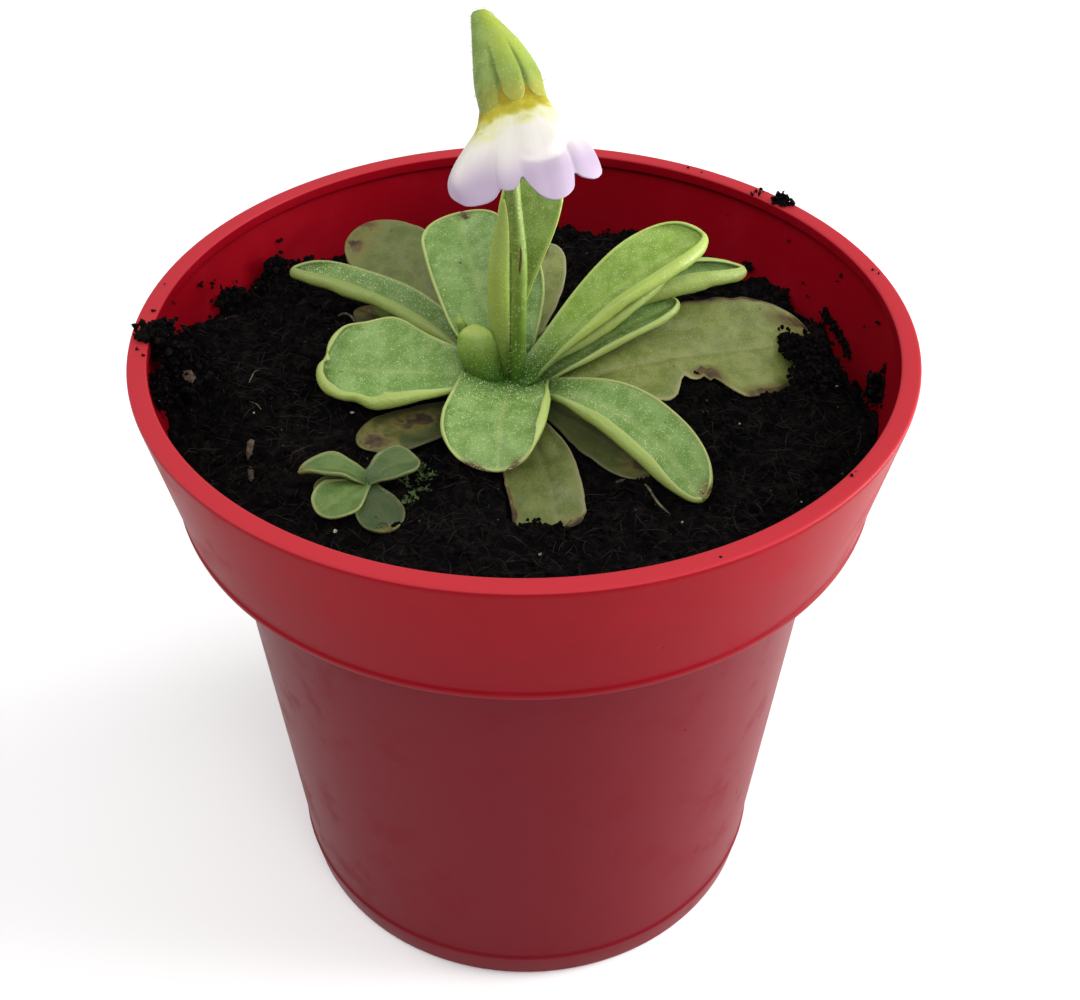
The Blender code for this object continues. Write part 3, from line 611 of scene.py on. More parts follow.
FLAT = ((60, 0.3), (50, 0.3), (60, 0.3))
LEAVES = {
    "leaf_right_old": leaf(LOW_RING, 2, 97.0, 19, -3, (10, -2, -8), 48, 21, neck=0.3, twist=20, wave=0.4,
        curl=((70, 0.4), (60, 0.3), (0, 0.3)), channel=0, age="old", bay=(0.52, 0.09, 0.55),
        dry=((1.0, 0.1, 0.09, 1.6), (0.56, -0.8, 0.06, 0.3), (0.75, -1.0, 0.12, 0.2), (0.93, 0.75, 0.09, 0.35),
        (0.62, 1.0, 0.5, 0.08))),
    "leaf_right_front_old": leaf(LOW_RING, -36, 96.7, -35, -20, (2, -4, -7), 23.5, 10, neck=0.42, cup=6,
        curl=FLAT, channel=0, age="old", shade=0.72, dry=((0.9, 0.3, 0.15, 0.9), )),
    "leaf_front_old": leaf(LOW_RING, -84, 96.8, -69, -16, (9, -4, -12), 27.5, 12.5, neck=0.5, twist=14, cup=12,
        reach=(0.74, 1.0), curl=((80, 0.35), (20, 0.3), (120, 0.5)), channel=0, age="old", blunt=24, shade=0.4,
        dry=((0.8, -1.0, 0.35, 0.16), (1.0, 0, 0.05, 1.5))),
    "leaf_left_front_old": leaf(LOW_RING, -150, 96.9, -149, -2, (-3, 1, 1), 22, 10, neck=0.45, cup=6, curl=FLAT,
        channel=0, age="old", shade=0.8, dry=((0.55, -0.2, 0.2, 0.5), (0.9, 0.2, 0.15, 1.0))),
    "leaf_left_old": leaf(LOW_RING, 164, 96.6, 132, 3, (1, 3, -6), 31.5, 8.5, neck=0.45, cup=6, curl=FLAT,
        channel=0, age="old", shade=0.8, dry=((0.5, 0.9, 0.1, 0.3), (1.0, 0.0, 0.1, 1.0))),
    "leaf_back_left_old": leaf(LOW_RING, 124, 97.6, 114, 22, (10, 9, 7), 43.5, 16, widest=0.68, neck=0.35,
        twist=-11, cup=6, curl=FLAT, channel=0, age="old", shade=0.5, dry=((0.92, 0.6, 0.07, 0.45),
        (0.8, 1.0, 0.2, 0.12), (0.97, -0.3, 0.05, 0.6))),
    "leaf_back_old": leaf(LOW_RING, 84, 97.4, 76, 1, (22, 18, 22), 27, 8.5, widest=0.65, wave=0.1,
        reach=(0.93, 0.93), channel=0, age="old", dry=((0.95, 0.5, 0.08, 0.6), )),
    "leaf_right_back_old": leaf(LOW_RING, 50, 98.1, 41, -9, (13, 12, 0), 34, 8, widest=0.65, twist=-4, cup=15,
        reach=(0.9, 0.9), wave=0.1, curl=((150, 0.5), ) * 3, age="old"),
    "leaf_front": leaf(3.2, -96, 100.3, -98, 6, (6, 3, -42), 20.4, 20, widest=0.42, neck=0.86, twist=10,
        reach=(0.72, 0.92), curl=((200, 0.6), (35, 0.3), (170, 0.42)), blunt=2.8, dry=((0.95, 0.85, 0.06, 0.3),
        (0.96, -0.85, 0.05, 0.25))),
    "leaf_right_front": leaf(MIDDLE_RING, -35, 98.7, -28, -38, (24, -4, -17), 37, 11.5, widest=0.55, neck=0.5,
        twist=15, cup=14, reach=(0.92, 0.84), curl=((120, 0.35), (150, 0.6), (205, 0.95)), shade=0.12,
        dry=((0.97, 0.5, 0.06, 0.5), )),
    "leaf_left_front": leaf(MIDDLE_RING, -168, 99.8, -177, -14, (16, 1, 2), 26.5, 20.5, neck=0.42, twist=-12,
        cup=12, reach=(0.82, 0.99), wave=0.7, curl=((215, 0.85), (190, 0.8), (110, 0.4)),
        pleat=(0.72, 1.6, 0.9), notch=(-0.24, 0.3, 0.8)),
    "leaf_left_long": leaf(MIDDLE_RING, 142, 99.6, 140, 20, (21, 9, -5), 39.5, 11.5, neck=0.5, twist=8, cup=25,
        reach=(0.72, 0.92), shade=0.34, curl=((215, 0.85), (180, 0.7), (90, 0.35))),
    "leaf_right_short": leaf(4.6, 12, 98.4, 29, 2, (17, 16, 3), 26.5, 8, widest=0.72, neck=0.42, cup=15,
        reach=(0.9, 0.9), wave=0.1, curl=((170, 0.5), ) * 3),
    "leaf_right_tube": leaf(MIDDLE_RING, 70, 100.6, 39, -30, (15, 8.5, -3), 41.5, 9.5, widest=0.68, neck=0.42,
        twist=4, cup=34, reach=(0.86, 0.8), wave=0.1, curl=((190, 1.0), (190, 0.8), (200, 1.25))),
    "leaf_back_left": leaf(HIGH_RING, 120, 102.3, 118, -18, (36, 34, 30), 25.4, 15, widest=0.8, neck=0.84,
        twist=-14, cup=12, reach=(0.92, 0.92), curl=((150, 0.4), (120, 0.35), (150, 0.4)),
        notch=(-0.34, 0.1, 1.0), dry=((1.0, -0.34, 0.03, 0.3), )),
    "leaf_back_right": leaf(3.5, 56, 102.2, 86, 9, (56, 50, 42), 16.5, 6.5, neck=0.5, cup=12,
        reach=(0.92, 0.92), wave=0.1, curl=((150, 0.35), ) * 3),
    "leaf_right_second": leaf(3.9, 15, 101.2, 26, 16, (22, 26, 6), 28, 12, neck=0.45, twist=4, cup=25,
        reach=(0.89, 0.78), wave=0.1, curl=((120, 0.35), (170, 0.5), (195, 0.7))),
    "leaf_right_long": leaf(4.2, -25, 102.8, 35, -1, (37, 22, 1), 35.2, 12.5, widest=0.68, neck=0.45, twist=6,
        cup=24, reach=(0.97, 0.84), wave=0.1, curl=((110, 0.35), (175, 0.8), (190, 0.9)), age="young"),
    "leaf_young_upright": leaf(2.0, 80, 103.9, 75, -16, (85, 71, 56), 28, 12, widest=0.88, neck=0.66, cup=25,
        reach=(0.76, 0.95), wave=0.1, curl=((150, 0.6), (120, 0.5), (100, 0.3)), age="young", root=3.6,
        slim=(0, 0.85)),
}
print("leaves:", len(LEAVES))

# %% [markdown]
# The flat outline comes first. Its half width rises smoothly from the foot to the widest place and closes in a
# round tip. A rolled margin uses up more leaf than it covers, so the flat leaf is drawn wider by that much.

# %% Flat outline
FOOT_REACH = 0.45        # share of the margin over which a roll grows from the foot
TIP_REACH = 0.28         # share of the margin that belongs to the tip


def half_width(u, blade):
    """Half the width and the share of it left to the tip.

    The half width narrows to a point before the foot, and rises by a smooth step to the widest place. From there
    on, at a share s of the rest, sqrt(1 - s^blunt) of it is left.
    """
    rise = blade["neck"] + (1 - blade["neck"]) * smooth_step(u / blade["widest"])
    rise = rise * smooth_step(1 + np.minimum(u, 0) * blade["length"] / (1.35 * blade["root"]))
    s = np.clip((u - blade["widest"]) / (1 - blade["widest"]), 0, 1)
    return blade["width"] / 2 * np.where(u < blade["widest"], rise, 1), np.sqrt(1 - s ** blade["blunt"])


def curl_at(m, blade):
    """Angle in radians and radius of the roll, m running from -1 at the right foot over the tip to 1."""
    left, tip, right = blade["curl"]
    sides = smooth_step(m / 0.1 + 0.5)
    at_tip = smooth_step(1 - np.abs(m) / TIP_REACH)
    at_foot = smooth_step((np.abs(m) - 1 + FOOT_REACH) / FOOT_REACH)
    angle = (left[0] * sides + right[0] * (1 - sides)) * (1 - at_tip) + tip[0] * at_tip
    radius = (left[1] * sides + right[1] * (1 - sides)) * (1 - at_tip) + tip[1] * at_tip
    radius = radius + (0.22 - radius) * at_foot
    if blade["pleat"]:
        away = (m - 1 + blade["pleat"][0]) / (1.8 * blade["pleat"][1] / blade["length"])
        radius = radius * (1 - 0.35 * np.exp(-away ** 2) + 0.2 * np.exp(-(away - 2) ** 2))
    return np.radians(angle * (1 - 0.25 * at_foot)), radius


def flat_half(u, side, blade):
    """Half width of the flat leaf on one side (1 left, -1 right): its own, plus what the roll uses up."""
    open_half, closing = half_width(u, blade)
    angle, radius = curl_at(side * (1 - u), blade)
    spare = radius * (angle - np.sin(np.minimum(angle, np.pi / 2)))
    half = (open_half * blade["reach"][0 if side > 0 else 1] + spare) * closing
    half = half * (1 - blade["slim"][0 if side > 0 else 1] * smooth_step(1 - u / 0.85))
    if blade["bay"] and side < 0:
        place, wide, depth = blade["bay"]
        ragged = 0.10 * noise(u * 50, 0 * u, 1.0, 12) + 0.05 * noise(u * 50, 0 * u + 9, 0.4, 13)
        half = half * (1 - (depth + ragged) / (1 + ((u - place) / wide) ** 6))
    if blade["age"] == "old":
        half = half * (1 + 0.02 * roughness_sum(u * blade["length"], 0 * u + side * 7, 2.2, 61))
    return half


def outline(blade, count=320):
    """The flat margin from the right foot round the tip to the left foot, with its outward normals."""
    t = 1 - np.linspace(0, 1, count) ** 2.2
    u = np.concatenate([t[::-1], t[1:]])
    side = np.concatenate([-np.ones(count), np.ones(count - 1)])
    half = np.where(side > 0, flat_half(u, 1, blade), flat_half(u, -1, blade))
    points = np.stack([u * (blade["length"] + tip_spare(blade)), side * half], 1)
    along = unit(np.gradient(points, axis=0))
    return points, np.stack([along[:, 1], -along[:, 0]], 1), side * (1 - u)


def tip_spare(blade):
    """How much longer the flat leaf is, because its tip is rolled: r (f - sin f) for a roll by f."""
    angle, radius = math.radians(blade["curl"][1][0]), blade["curl"][1][1]
    return radius * (angle - math.sin(min(angle, math.pi / 2)))


def unit(vectors):
    """Vectors scaled to length 1."""
    return vectors / np.maximum(np.linalg.norm(vectors, axis=-1, keepdims=True), 1e-9)


# %% [markdown]
# Rolling the margin is a change of place in the flat leaf. A point nearer to the margin than the roll is long
# leaves the plane on a circle: it lies out by r sin(f) and up by r (1 - cos(f)) from the line where the roll
# starts, where f is the length of leaf used so far, over r.

# %% Rolled margin


def rolled_places(flat, blade):
    """Flat place after rolling, height over the plane, angle of the roll there, and distance to the margin."""
    margin, outward, m = outline(blade)
    flat_points = flat.reshape(-1, 2)
    nearest = np.concatenate([
        np.argmin(((part[:, None] - margin[None]) ** 2).sum(-1), 1)
        for part in np.array_split(flat_points, max(1, len(flat_points) // 2000))])
    normal = outward[nearest]
    distance = np.maximum(((margin[nearest] - flat_points) * normal).sum(1), 0)
    angle, radius = curl_at(m[nearest], blade)
    used = np.clip(angle * radius - distance, 0, None)
    turned = used / radius
    shift = radius * np.sin(turned) - used
    place = flat_points + normal * shift[:, None]
    height = radius * (1 - np.cos(turned))
    shape = flat.shape[:2]
    return (place.reshape(*shape, 2), height.reshape(shape), turned.reshape(shape), normal.reshape(*shape, 2),
            distance.reshape(shape))


def cross_section(share, cup):
    """How far out and up a blade lies at a share of its half width, when its slope there is cup x share."""
    slope = np.radians(cup) * share
    safe = np.where(np.abs(slope) < 1e-4, 1e-4, slope)
    return share * np.sin(safe) / safe, share * (1 - np.cos(safe)) / safe


# %% [markdown]
# Laying the leaf along its midrib needs, at each place, the way the midrib runs, the way across, and the way
# up. The heading turns evenly, and the slope follows a parabola through its three values.

# %% Leaf surface


def direction(blade, s):
    """Unit vectors along the midrib at shares s."""
    foot, middle, tip = blade["rise"]
    held = np.clip(s, 0, 1)
    slope = np.radians(foot * (1 - held) * (1 - 2 * held) + 4 * middle * held * (1 - held)
                       + tip * held * (2 * held - 1))
    heading = np.radians(blade["heading"] + blade["turn"] * s)
    return np.stack([np.cos(slope) * np.cos(heading), np.cos(slope) * np.sin(heading), np.sin(slope)], -1)


def leaf_start(blade):
    """The place on its ring round the crown where a leaf starts."""
    angle = math.radians(blade["at"])
    return CROWN_X + blade["ring"] * math.cos(angle), CROWN_Y + blade["ring"] * math.sin(angle), blade["z"]


def midrib(blade, start, s):
    """Sum of small steps along the midrib's direction, read off at the shares s."""
    knots = np.linspace(-0.6, 1.1, 341)
    steps = direction(blade, (knots[1:] + knots[:-1]) / 2) * np.diff(knots)[:, None] * blade["length"]
    path = np.vstack([np.zeros(3), np.cumsum(steps, 0)])
    path = path - [np.interp(0, knots, path[:, k]) for k in range(3)]
    return np.stack([np.interp(s, knots, path[:, k]) for k in range(3)], -1) + np.asarray(start, float)


def leaf_surface(blade, start, u, v):
    """Points, upper normals and distance to the margin for shares u along the flat leaf and v across it.

    A rolled place is laid at its share of the midrib, out and up along the arc of the cupped blade, and on by the
    height of its roll. A sine wave grows with the square of the way to the margin, noise quilts the blade, and
    the midrib is a groove in the shape of a bell curve.
    """
    grid_v, grid_u = np.meshgrid(v, u)
    half = np.where(grid_v > 0, flat_half(grid_u, 1, blade), flat_half(grid_u, -1, blade))
    flat = np.stack([grid_u * (blade["length"] + tip_spare(blade)), grid_v * half], -1)
    place, height, turned, outward, distance = rolled_places(flat, blade)
    s = place[..., 0] / blade["length"]
    open_half, closing = half_width(np.clip(s, 0, 0.96), blade)
    local = open_half * closing
    share = place[..., 1] / local
    grown = smooth_step(s / 0.35)
    cup = blade["cup"] + blade["channel"] * (1 - grown)
    out, up = cross_section(share, cup)
    slope = np.radians(cup) * share
    along = direction(blade, s)
    heading = np.radians(blade["heading"] + blade["turn"] * s)
    left = np.stack([-np.sin(heading), np.cos(heading), 0 * s], -1)
    above = np.cross(along, left)
    twist = np.radians(blade["twist"]) * grown
    side = left * np.cos(twist)[..., None] + above * np.sin(twist)[..., None]
    normal = np.cross(along, side)
    wave = (np.sin(2 * np.pi * (2.2 * s + blade["heading"] / 50)) * smooth_step(s / 0.3) * blade["wave"]
            * local / blade["width"] * 2 * share ** 2 * np.where(share > 0, 1, -0.8))
    x, y = place[..., 0], place[..., 1]
    inner = smooth_step(distance / 2)
    quilt = 0.25 * roughness_sum(y + 50, x + 50, 4.5, 5 + len(blade["dry"])) * smooth_step(x / 5) * inner
    groove = -0.25 * np.exp(-(y / 0.5) ** 2) * smooth_step(x / 4) * inner
    tilted = normal * np.cos(slope)[..., None] - side * np.sin(slope)[..., None]
    level = side * np.cos(slope)[..., None] + normal * np.sin(slope)[..., None]
    points = (midrib(blade, start, s) + side * (local * out)[..., None]
              + normal * (local * up + wave + quilt + groove)[..., None] + tilted * height[..., None])
    away = along * outward[..., :1] + level * outward[..., 1:]
    upper = tilted * np.cos(turned)[..., None] - away * np.sin(turned)[..., None]
    if blade["pleat"]:
        points = points + pleat_shift(blade, s, share, side, normal)
    if blade["blunt"] > 4:
        torn = 0.9 * np.abs(roughness_sum(grid_v * 5 + 20, 0 * grid_v, 1.4, 71)) * smooth_step((grid_u - 0.8) / 0.2)
        points = points - along * torn[..., None]
    if blade["notch"]:
        centre, wide, depth = blade["notch"]
        back = depth * np.exp(-((grid_v - centre) / wide) ** 2) * smooth_step((grid_u - 0.8) / 0.2)
        points = points - along * back[..., None]
    return points, unit(upper), distance


def pleat_shift(blade, s, share, side, normal):
    """The left margin pushed in and up at one place, in a bell curve, with a small lip on each side of it."""
    place, wide, depth = blade["pleat"]
    away = (s - place) * blade["length"] / wide
    push = np.exp(-away ** 2) * smooth_step((share - 0.55) / 0.4)
    lip = np.exp(-(np.abs(away) - 1.6) ** 2) * smooth_step((share - 0.6) / 0.4)
    return -side * (push * depth)[..., None] + normal * (push * 0.5 + lip * 0.3)[..., None]


# %% [markdown]
# The blade gets its thickness as a closed skin: the upper and the lower face lie half a thickness to each
# side of the middle surface, and meet in a round margin. Values stored on each point say how far along the
# leaf and how far from its midrib and its margin it is, whether it is on the upper face, and how dry and how
# dark it is there, so that the finish can follow.

# %% Leaf skin
LEAF_ROWS = 80
LEAF_COLUMNS = 45
FLAT_LEAF_ROWS = 64
FLAT_LEAF_COLUMNS = 33
LAST_ROW = 0.9996        # place of the last row, a hair before the tip
CLOSER_TO_TIP = 1.6      # power by which rows stand closer together towards the tip
CLOSER_TO_MARGIN = 1.5   # and columns towards the margins
MARGIN_THICKNESS = 0.42
MARGIN_REACH = 3.0       # distance from the margin at which the blade has its full thickness


def dryness(blade, u, v):
    """1 in the middle of each dry patch, falling to 0 by a bell curve and broken up by noise."""
    grid_v, grid_u = np.meshgrid(v, u)
    dry = np.zeros_like(grid_u)
    for place, across, half, wide in blade["dry"]:
        dry = np.maximum(dry, np.exp(-((grid_u - place) / half) ** 2 - ((grid_v - across) / wide) ** 2))
    return dry * (0.85 + 0.6 * roughness_sum(grid_u * 40 + 9, grid_v * 8 + 9, 2.0, 31))


def leaf_skin(name, blade, start, rows=LEAF_ROWS, columns=LEAF_COLUMNS, inward=0.0):
    """The closed skin of one leaf, with its marks, and its upper face for whatever lies on it.

    Each face lies half a thickness from the middle surface, times sqrt(1 - (1 - e)^2) near the margin, where e is
    the distance to the margin over half the thickness.
    """
    t = np.linspace(0, 1, rows)
    u = -inward + (LAST_ROW + inward) * (1 - (1 - t) ** CLOSER_TO_TIP)
    q = np.linspace(-1, 1, columns)
    v = np.sign(q) * (1 - (1 - np.abs(q)) ** CLOSER_TO_MARGIN)
    middle, normal, distance = leaf_surface(blade, start, u, v)
    thick = MARGIN_THICKNESS + (blade["thickness"] - MARGIN_THICKNESS) * smooth_step(distance / MARGIN_REACH)
    edge = np.clip(distance / thick * 2, 0, 1)
    half = (thick / 2 * np.sqrt(1 - (1 - edge) ** 2))[..., None]
    upper, lower = middle + normal * half, middle - normal * half
    dry = dryness(blade, u, v)

    def stored(values, foot, tip, below=None):
        """Values of the upper face, of the lower face if they differ, and of the two ends, as one row."""
        under = values if below is None else below
        return np.append(np.concatenate([values, under[:, -2:0:-1]], 1).ravel(), [foot, tip])

    every = np.ones((rows, columns))
    marks = {
        "along": stored(u[:, None] * every, 0, 1),
        "across": stored(v[None] * (blade["width"] / 2) * every, 0, 0),
        "margin": stored(distance, 0, 0),
        "upper": stored(every, 0.5, 0.5, 0 * every),
        "dry": stored(dry, 0, dry[-1].mean()),
        "shade": stored(blade["shade"] * every, blade["shade"], blade["shade"]),
    }
    skin = np.concatenate([upper, lower[:, -2:0:-1]], 1)
    return closed_grid(name, skin, middle[[0, -1], columns // 2], marks), upper


# %% [markdown]
# Leaf skin is green flesh seen through a glossy film. The margin is paler because it is thin. The foot is a deep
# green, most of all on a young leaf: partly its own colour and partly painted shade where the feet crowd into the
# crown. A narrow strip along the midrib is paler, partly its own colour and partly a painted sheen. The underside is
# lighter and yellower than the upper face, which shows where a margin is rolled. Old leaves are duller, with brown
# patches where they dry. Thousands of glands make the face sparkle: most are real small drops, added below, and the
# finest are a speckle in colour, as painted glints, and in height.

# %% Leaf finish
LEAF_COLOURS = {
    "young": dict(Body=colour(112, 142, 42), Body_Two=colour(132, 160, 68), Rim=colour(160, 180, 88),
                  Under=colour(148, 168, 74), Foot=colour(42, 80, 8)),
    "grown": dict(Body=colour(98, 132, 56), Body_Two=colour(124, 154, 84), Rim=colour(162, 176, 102),
                  Under=colour(146, 166, 80), Foot=colour(48, 84, 14)),
    "old": dict(Body=colour(104, 116, 50), Body_Two=colour(128, 136, 72), Rim=colour(150, 146, 98),
                Under=colour(126, 132, 66), Foot=colour(60, 80, 24)),
}


def leaf_group():
    """Colour, roughness and height of leaf skin, read from the marks on its points."""
    tints = {key: (0.1, 0.2, 0.05, 1.0) for key in ("Body", "Body Two", "Rim", "Under", "Foot")}
    tree, given, out = new_group("Leaf skin", {**tints, "Spots": 0.2},
                                 {"Colour": "Color", "Roughness": "Float", "Height": "Float"})
    across = sums(tree, "ABSOLUTE", mark(tree, "across"), 0.0)
    dry = mark(tree, "dry")
    blotch = patches(tree, 3.2, 0.36, 0.64)
    glands = specks(tree, 0.34, 0.36, 0.85)
    face = layered(tree, given["Body"],
                   (blotch, given["Body Two"]),
                   # partly painted sheen: the paler strip along the midrib, over its own paler colour
                   (ranged(tree, across, 0.9, 0.0, 0.0, 0.28), given["Rim"]),
                   (ranged(tree, mark(tree, "upper"), 0.75, 0.25), given["Under"]),
                   (ranged(tree, mark(tree, "margin"), 0.9, 0.0), given["Rim"]),
                   # partly painted shade: the deep green of the foot, where the feet crowd into the crown
                   (ranged(tree, mark(tree, "along"), 0.32, -0.1), given["Foot"]))
    browned = mixed(tree, blotch, colour(88, 70, 42), colour(50, 37, 26))
    face = layered(tree, face,
                   # painted glints: pale specks of the finest glands
                   (glands, mixed(tree, 0.5, face, colour(216, 224, 180)), 0.45),
                   (specks(tree, 2.6, 0.1, given["Spots"]), colour(40, 38, 18), 0.75),
                   # dirt, and painted shade on leaves that lie low under others, darken the whole leaf
                   (mark(tree, "shade"), colour(24, 30, 12)),
                   (ranged(tree, dry, 0.08, 0.5, 0.0, 0.8), colour(104, 98, 48)),
                   (ranged(tree, dry, 0.5, 0.85), browned))
    tree.links.new(face, out["Colour"])
    wet = scaled(tree, glands, -0.2)
    tree.links.new(sums(tree, "ADD", ranged(tree, dry, 0.2, 0.8, 0.42, 0.75), wet), out["Roughness"])
    tree.links.new(sums(tree, "ADD", grain(tree, 0.5, 2.2, 1.5), scaled(tree, glands, 0.6)), out["Height"])
    return tree


LEAF_GROUP = leaf_group()


def leaf_material(age, spots):
    """Leaf skin in the colours of one age; 'spots' is the share of dark specks."""
    material, tree, shader = new_material("leaf_" + age, Specular_IOR_Level=0.4)
    skin = use_group(tree, LEAF_GROUP, Spots=spots, **LEAF_COLOURS[age])
    tree.links.new(skin["Colour"], shader["Base Color"])
    tree.links.new(skin["Roughness"], shader["Roughness"])
    bumped(tree, shader, skin["Height"], 0.7, 0.12)
    return material


LEAF_MATERIALS = {"young": leaf_material("young", 0.03), "grown": leaf_material("grown", 0.1),
                  "old": leaf_material("old", 0.35)}
LEAF_SLOTS = {"young": "leaf_young", "grown": "leaf_green", "old": "leaf_old"}

# %% [markdown]
# All leaves can now be made in one loop over the table. Flat old leaves need fewer rows and columns than leaves
# with rolled margins. The largest old leaf is torn and wavy, so it keeps the fine grid.

# %% All leaves
LARGEST_OLD_LEAF = "leaf_right_old"
leaf_faces = {}
for name, blade in LEAVES.items():
    flat = blade["age"] == "old" and name != LARGEST_OLD_LEAF
    rows, columns = (FLAT_LEAF_ROWS, FLAT_LEAF_COLUMNS) if flat else (LEAF_ROWS, LEAF_COLUMNS)
    piece, leaf_faces[name] = leaf_skin(name + "_skin", blade, leaf_start(blade), rows, columns,
                                        blade["root"] / blade["length"])
    settle(piece, LEAF_MATERIALS[blade["age"]], LEAF_SLOTS[blade["age"]], name)

# %% [markdown]
# ## The crown
# All leaves grow from one short stem, the crown. Between the leaf feet only a little of it shows, as smooth
# bright green flesh that runs up into the stalk. It is a turned shape with soft flutes, one for each young
# leaf that it is about to make.

# %% Crown
CROWN_PROFILE = ((0, 90), (3.2, 90), (3.9, 93), (4.0, 95.6), (3.5, 97.4), (2.5, 98.8), (1.2, 99.8), (0, 100.1))


def crown_piece():
    """Radius times 1 + 0.07 cos(5a): a turned shape with five soft flutes, moved to the plant's place."""
    profile = rounded(CROWN_PROFILE, 1.0, 5)
    piece = turned_piece("crown_stem", profile[::-1], 40)
    places = np.empty(len(piece.data.vertices) * 3, np.float32)
    piece.data.vertices.foreach_get("co", places)
    places = places.reshape(-1, 3)
    angle = np.arctan2(places[:, 1], places[:, 0])
    places[:, :2] *= (1 + 0.07 * np.cos(5 * angle + 0.6))[:, None]
    places += np.array([CROWN_X, CROWN_Y, 0]) * MM
    piece.data.vertices.foreach_set("co", places.ravel())
    return piece


def stalk_material():
    """Yellow-green skin with pale gland specks, a deeper green towards the bottom that is partly its own and partly
    painted shade among the leaf feet; the brown scar of the stalk is a mark on its points.
    """
    material, tree, shader = new_material("stalk", Specular_IOR_Level=0.5)
    glands = specks(tree, 0.5, 0.3, 0.6)
    body = layered(tree, colour(104, 132, 40),
                   (patches(tree, 2.0, 0.35, 0.65), colour(122, 146, 60)),
                   # partly painted shade: a deeper green below the stalk's middle and over the crown, among the leaf
                   # feet
                   (ranged(tree, height_socket(tree), 0.121, 0.1), colour(52, 90, 12)),
                   (glands, colour(196, 208, 140), 0.5),
                   (ranged(tree, mark(tree, "scar"), 0.2, 0.6), colour(70, 40, 18)))
    tree.links.new(body, shader["Base Color"])
    tree.links.new(ranged(tree, glands, 0.0, 1.0, 0.45, 0.25), shader["Roughness"])
    bumped(tree, shader, grain(tree, 0.4, 2.0, 1.0), 0.6, 0.1)
    return material


STALK = stalk_material()
settle(crown_piece(), STALK, "leaf_green", "crown")

# %% [markdown]
# ## The stalk
# The flower stalk is a bare round stem that nods at its top. Its route is a smooth curve close to the solid's
# own line, and a little straighter, as in the photo. A curve object could carry it, but a tube in an array can
# also swell at the foot, carry a rib, and tell the finish where its brown scar is.

# %% Stalk
SCAPE_ROUTE = ((-1.1, -0.3, 97.6), (-1.1, -0.7, 100.0), (-1.0, -1.2, 104.7), (-0.9, -1.1, 112), (-0.75, -0.3, 122),
               (-1.6, 0.6, 132), (-2.2, 1.8, 143), (-3.6, 3.2, 151), (-4.9, 3.5, 155.4), (-5.5, 2.9, 157.6),
               (-5.7, 1.9, 158.2))
SCAR_HEIGHT = 122.2


def smooth_route(points, count):
    """Catmull-Rom curve: between two points it is a cubic whose ends lean towards their neighbours."""
    points = np.array(points, float)
    padded = np.vstack([2 * points[0] - points[1], points, 2 * points[-1] - points[-2]])
    place = np.linspace(0, len(points) - 1 - 1e-9, count)
    k = place.astype(int)
    t = (place - k)[:, None]
    a, b, c, d = (padded[k + n] for n in range(4))
    return 0.5 * (2 * b + (c - a) * t + (2 * a - 5 * b + 4 * c - d) * t ** 2 + (3 * b - 3 * c + d - a) * t ** 3)


def tube_frames(route):
    """Two directions across the route at each of its points, turning as little as possible."""
    along = unit(np.gradient(route, axis=0))
    first = unit(np.cross(along, [0, 1, 0.01]))
    return first, np.cross(along, first)


def tube_piece(name, route, radii, sides, marks=None):
    """Rings of the given radii round a route, closed at both ends; also the rings themselves."""
    first, second = tube_frames(route)
    angle = np.arange(sides) * 2 * np.pi / sides
    spokes = np.cos(angle)[None, :, None] * first[:, None] + np.sin(angle)[None, :, None] * second[:, None]
    rings = route[:, None] + np.asarray(radii).reshape(len(route), -1, 1) * spokes
    marks = {key: np.append(values.ravel(), [0, 0]) for key, values in (marks or {}).items()}
    return closed_grid(name, rings, route[[0, -1]], marks), rings


def scape_piece():
    """The stalk: a tapering tube, swollen at its foot, with a soft rib and the mark of its brown scar."""
    rows, sides = 150, 24
    route = smooth_route(SCAPE_ROUTE, rows)
    share = np.linspace(0, 1, rows)[:, None]
    angle = (np.arange(sides) * 2 * np.pi / sides)[None]
    radii = 1.35 * (1 - 0.4 * share) * (1 + 0.2 * np.exp(-share / 0.06))
    radii = radii * (1 + 0.03 * np.cos(angle * 3 + 4 * share) + 0.02 * noise(share * 90, angle * 3, 1.0, 3))
    above = route[:, 2][:, None] - SCAR_HEIGHT
    scar = np.exp(-(above / 2.2) ** 4 - ((np.cos(angle) + 0.15 + above * 0.06) / 0.15) ** 2)
    return tube_piece("scape_stalk", route, radii, sides, {"scar": scar})


scape, scape_rings = scape_piece()
settle(scape, STALK, "stalk_green", "scape")

# %% [markdown]
# The youngest leaf is still a closed hood, thick and smooth, with the tip of the next one beside it. A blade
# with rolled margins can't close like that, so the hood is a tube that is wider than it is deep. Two more
# folded leaves are made in the same way: one against the upright leaf, and a shoot beside the long left leaf.

# %% Folded leaves
BUD_ROUTE = ((-3.4, -0.9, 98.6), (-4.6, -0.9, 100.1), (-5.8, -0.8, 101.6), (-6.9, -0.5, 103.9), (-7.5, 0.0, 106.2),
             (-7.7, 0.5, 107.9), (-7.75, 0.8, 109.0), (-7.75, 1.0, 109.6))
BUD_HALF_WIDTHS = (1.0, 1.9, 2.6, 3.05, 3.1, 2.7, 1.7, 0.25)
BUD_TIP_ROUTE = ((-8.9, 1.3, 105.8), (-9.4, 1.5, 107.9), (-9.9, 1.8, 109.3), (-10.3, 2.1, 110.3))
BUD_TIP_HALF_WIDTHS = (0.9, 0.8, 0.72, 0.3)


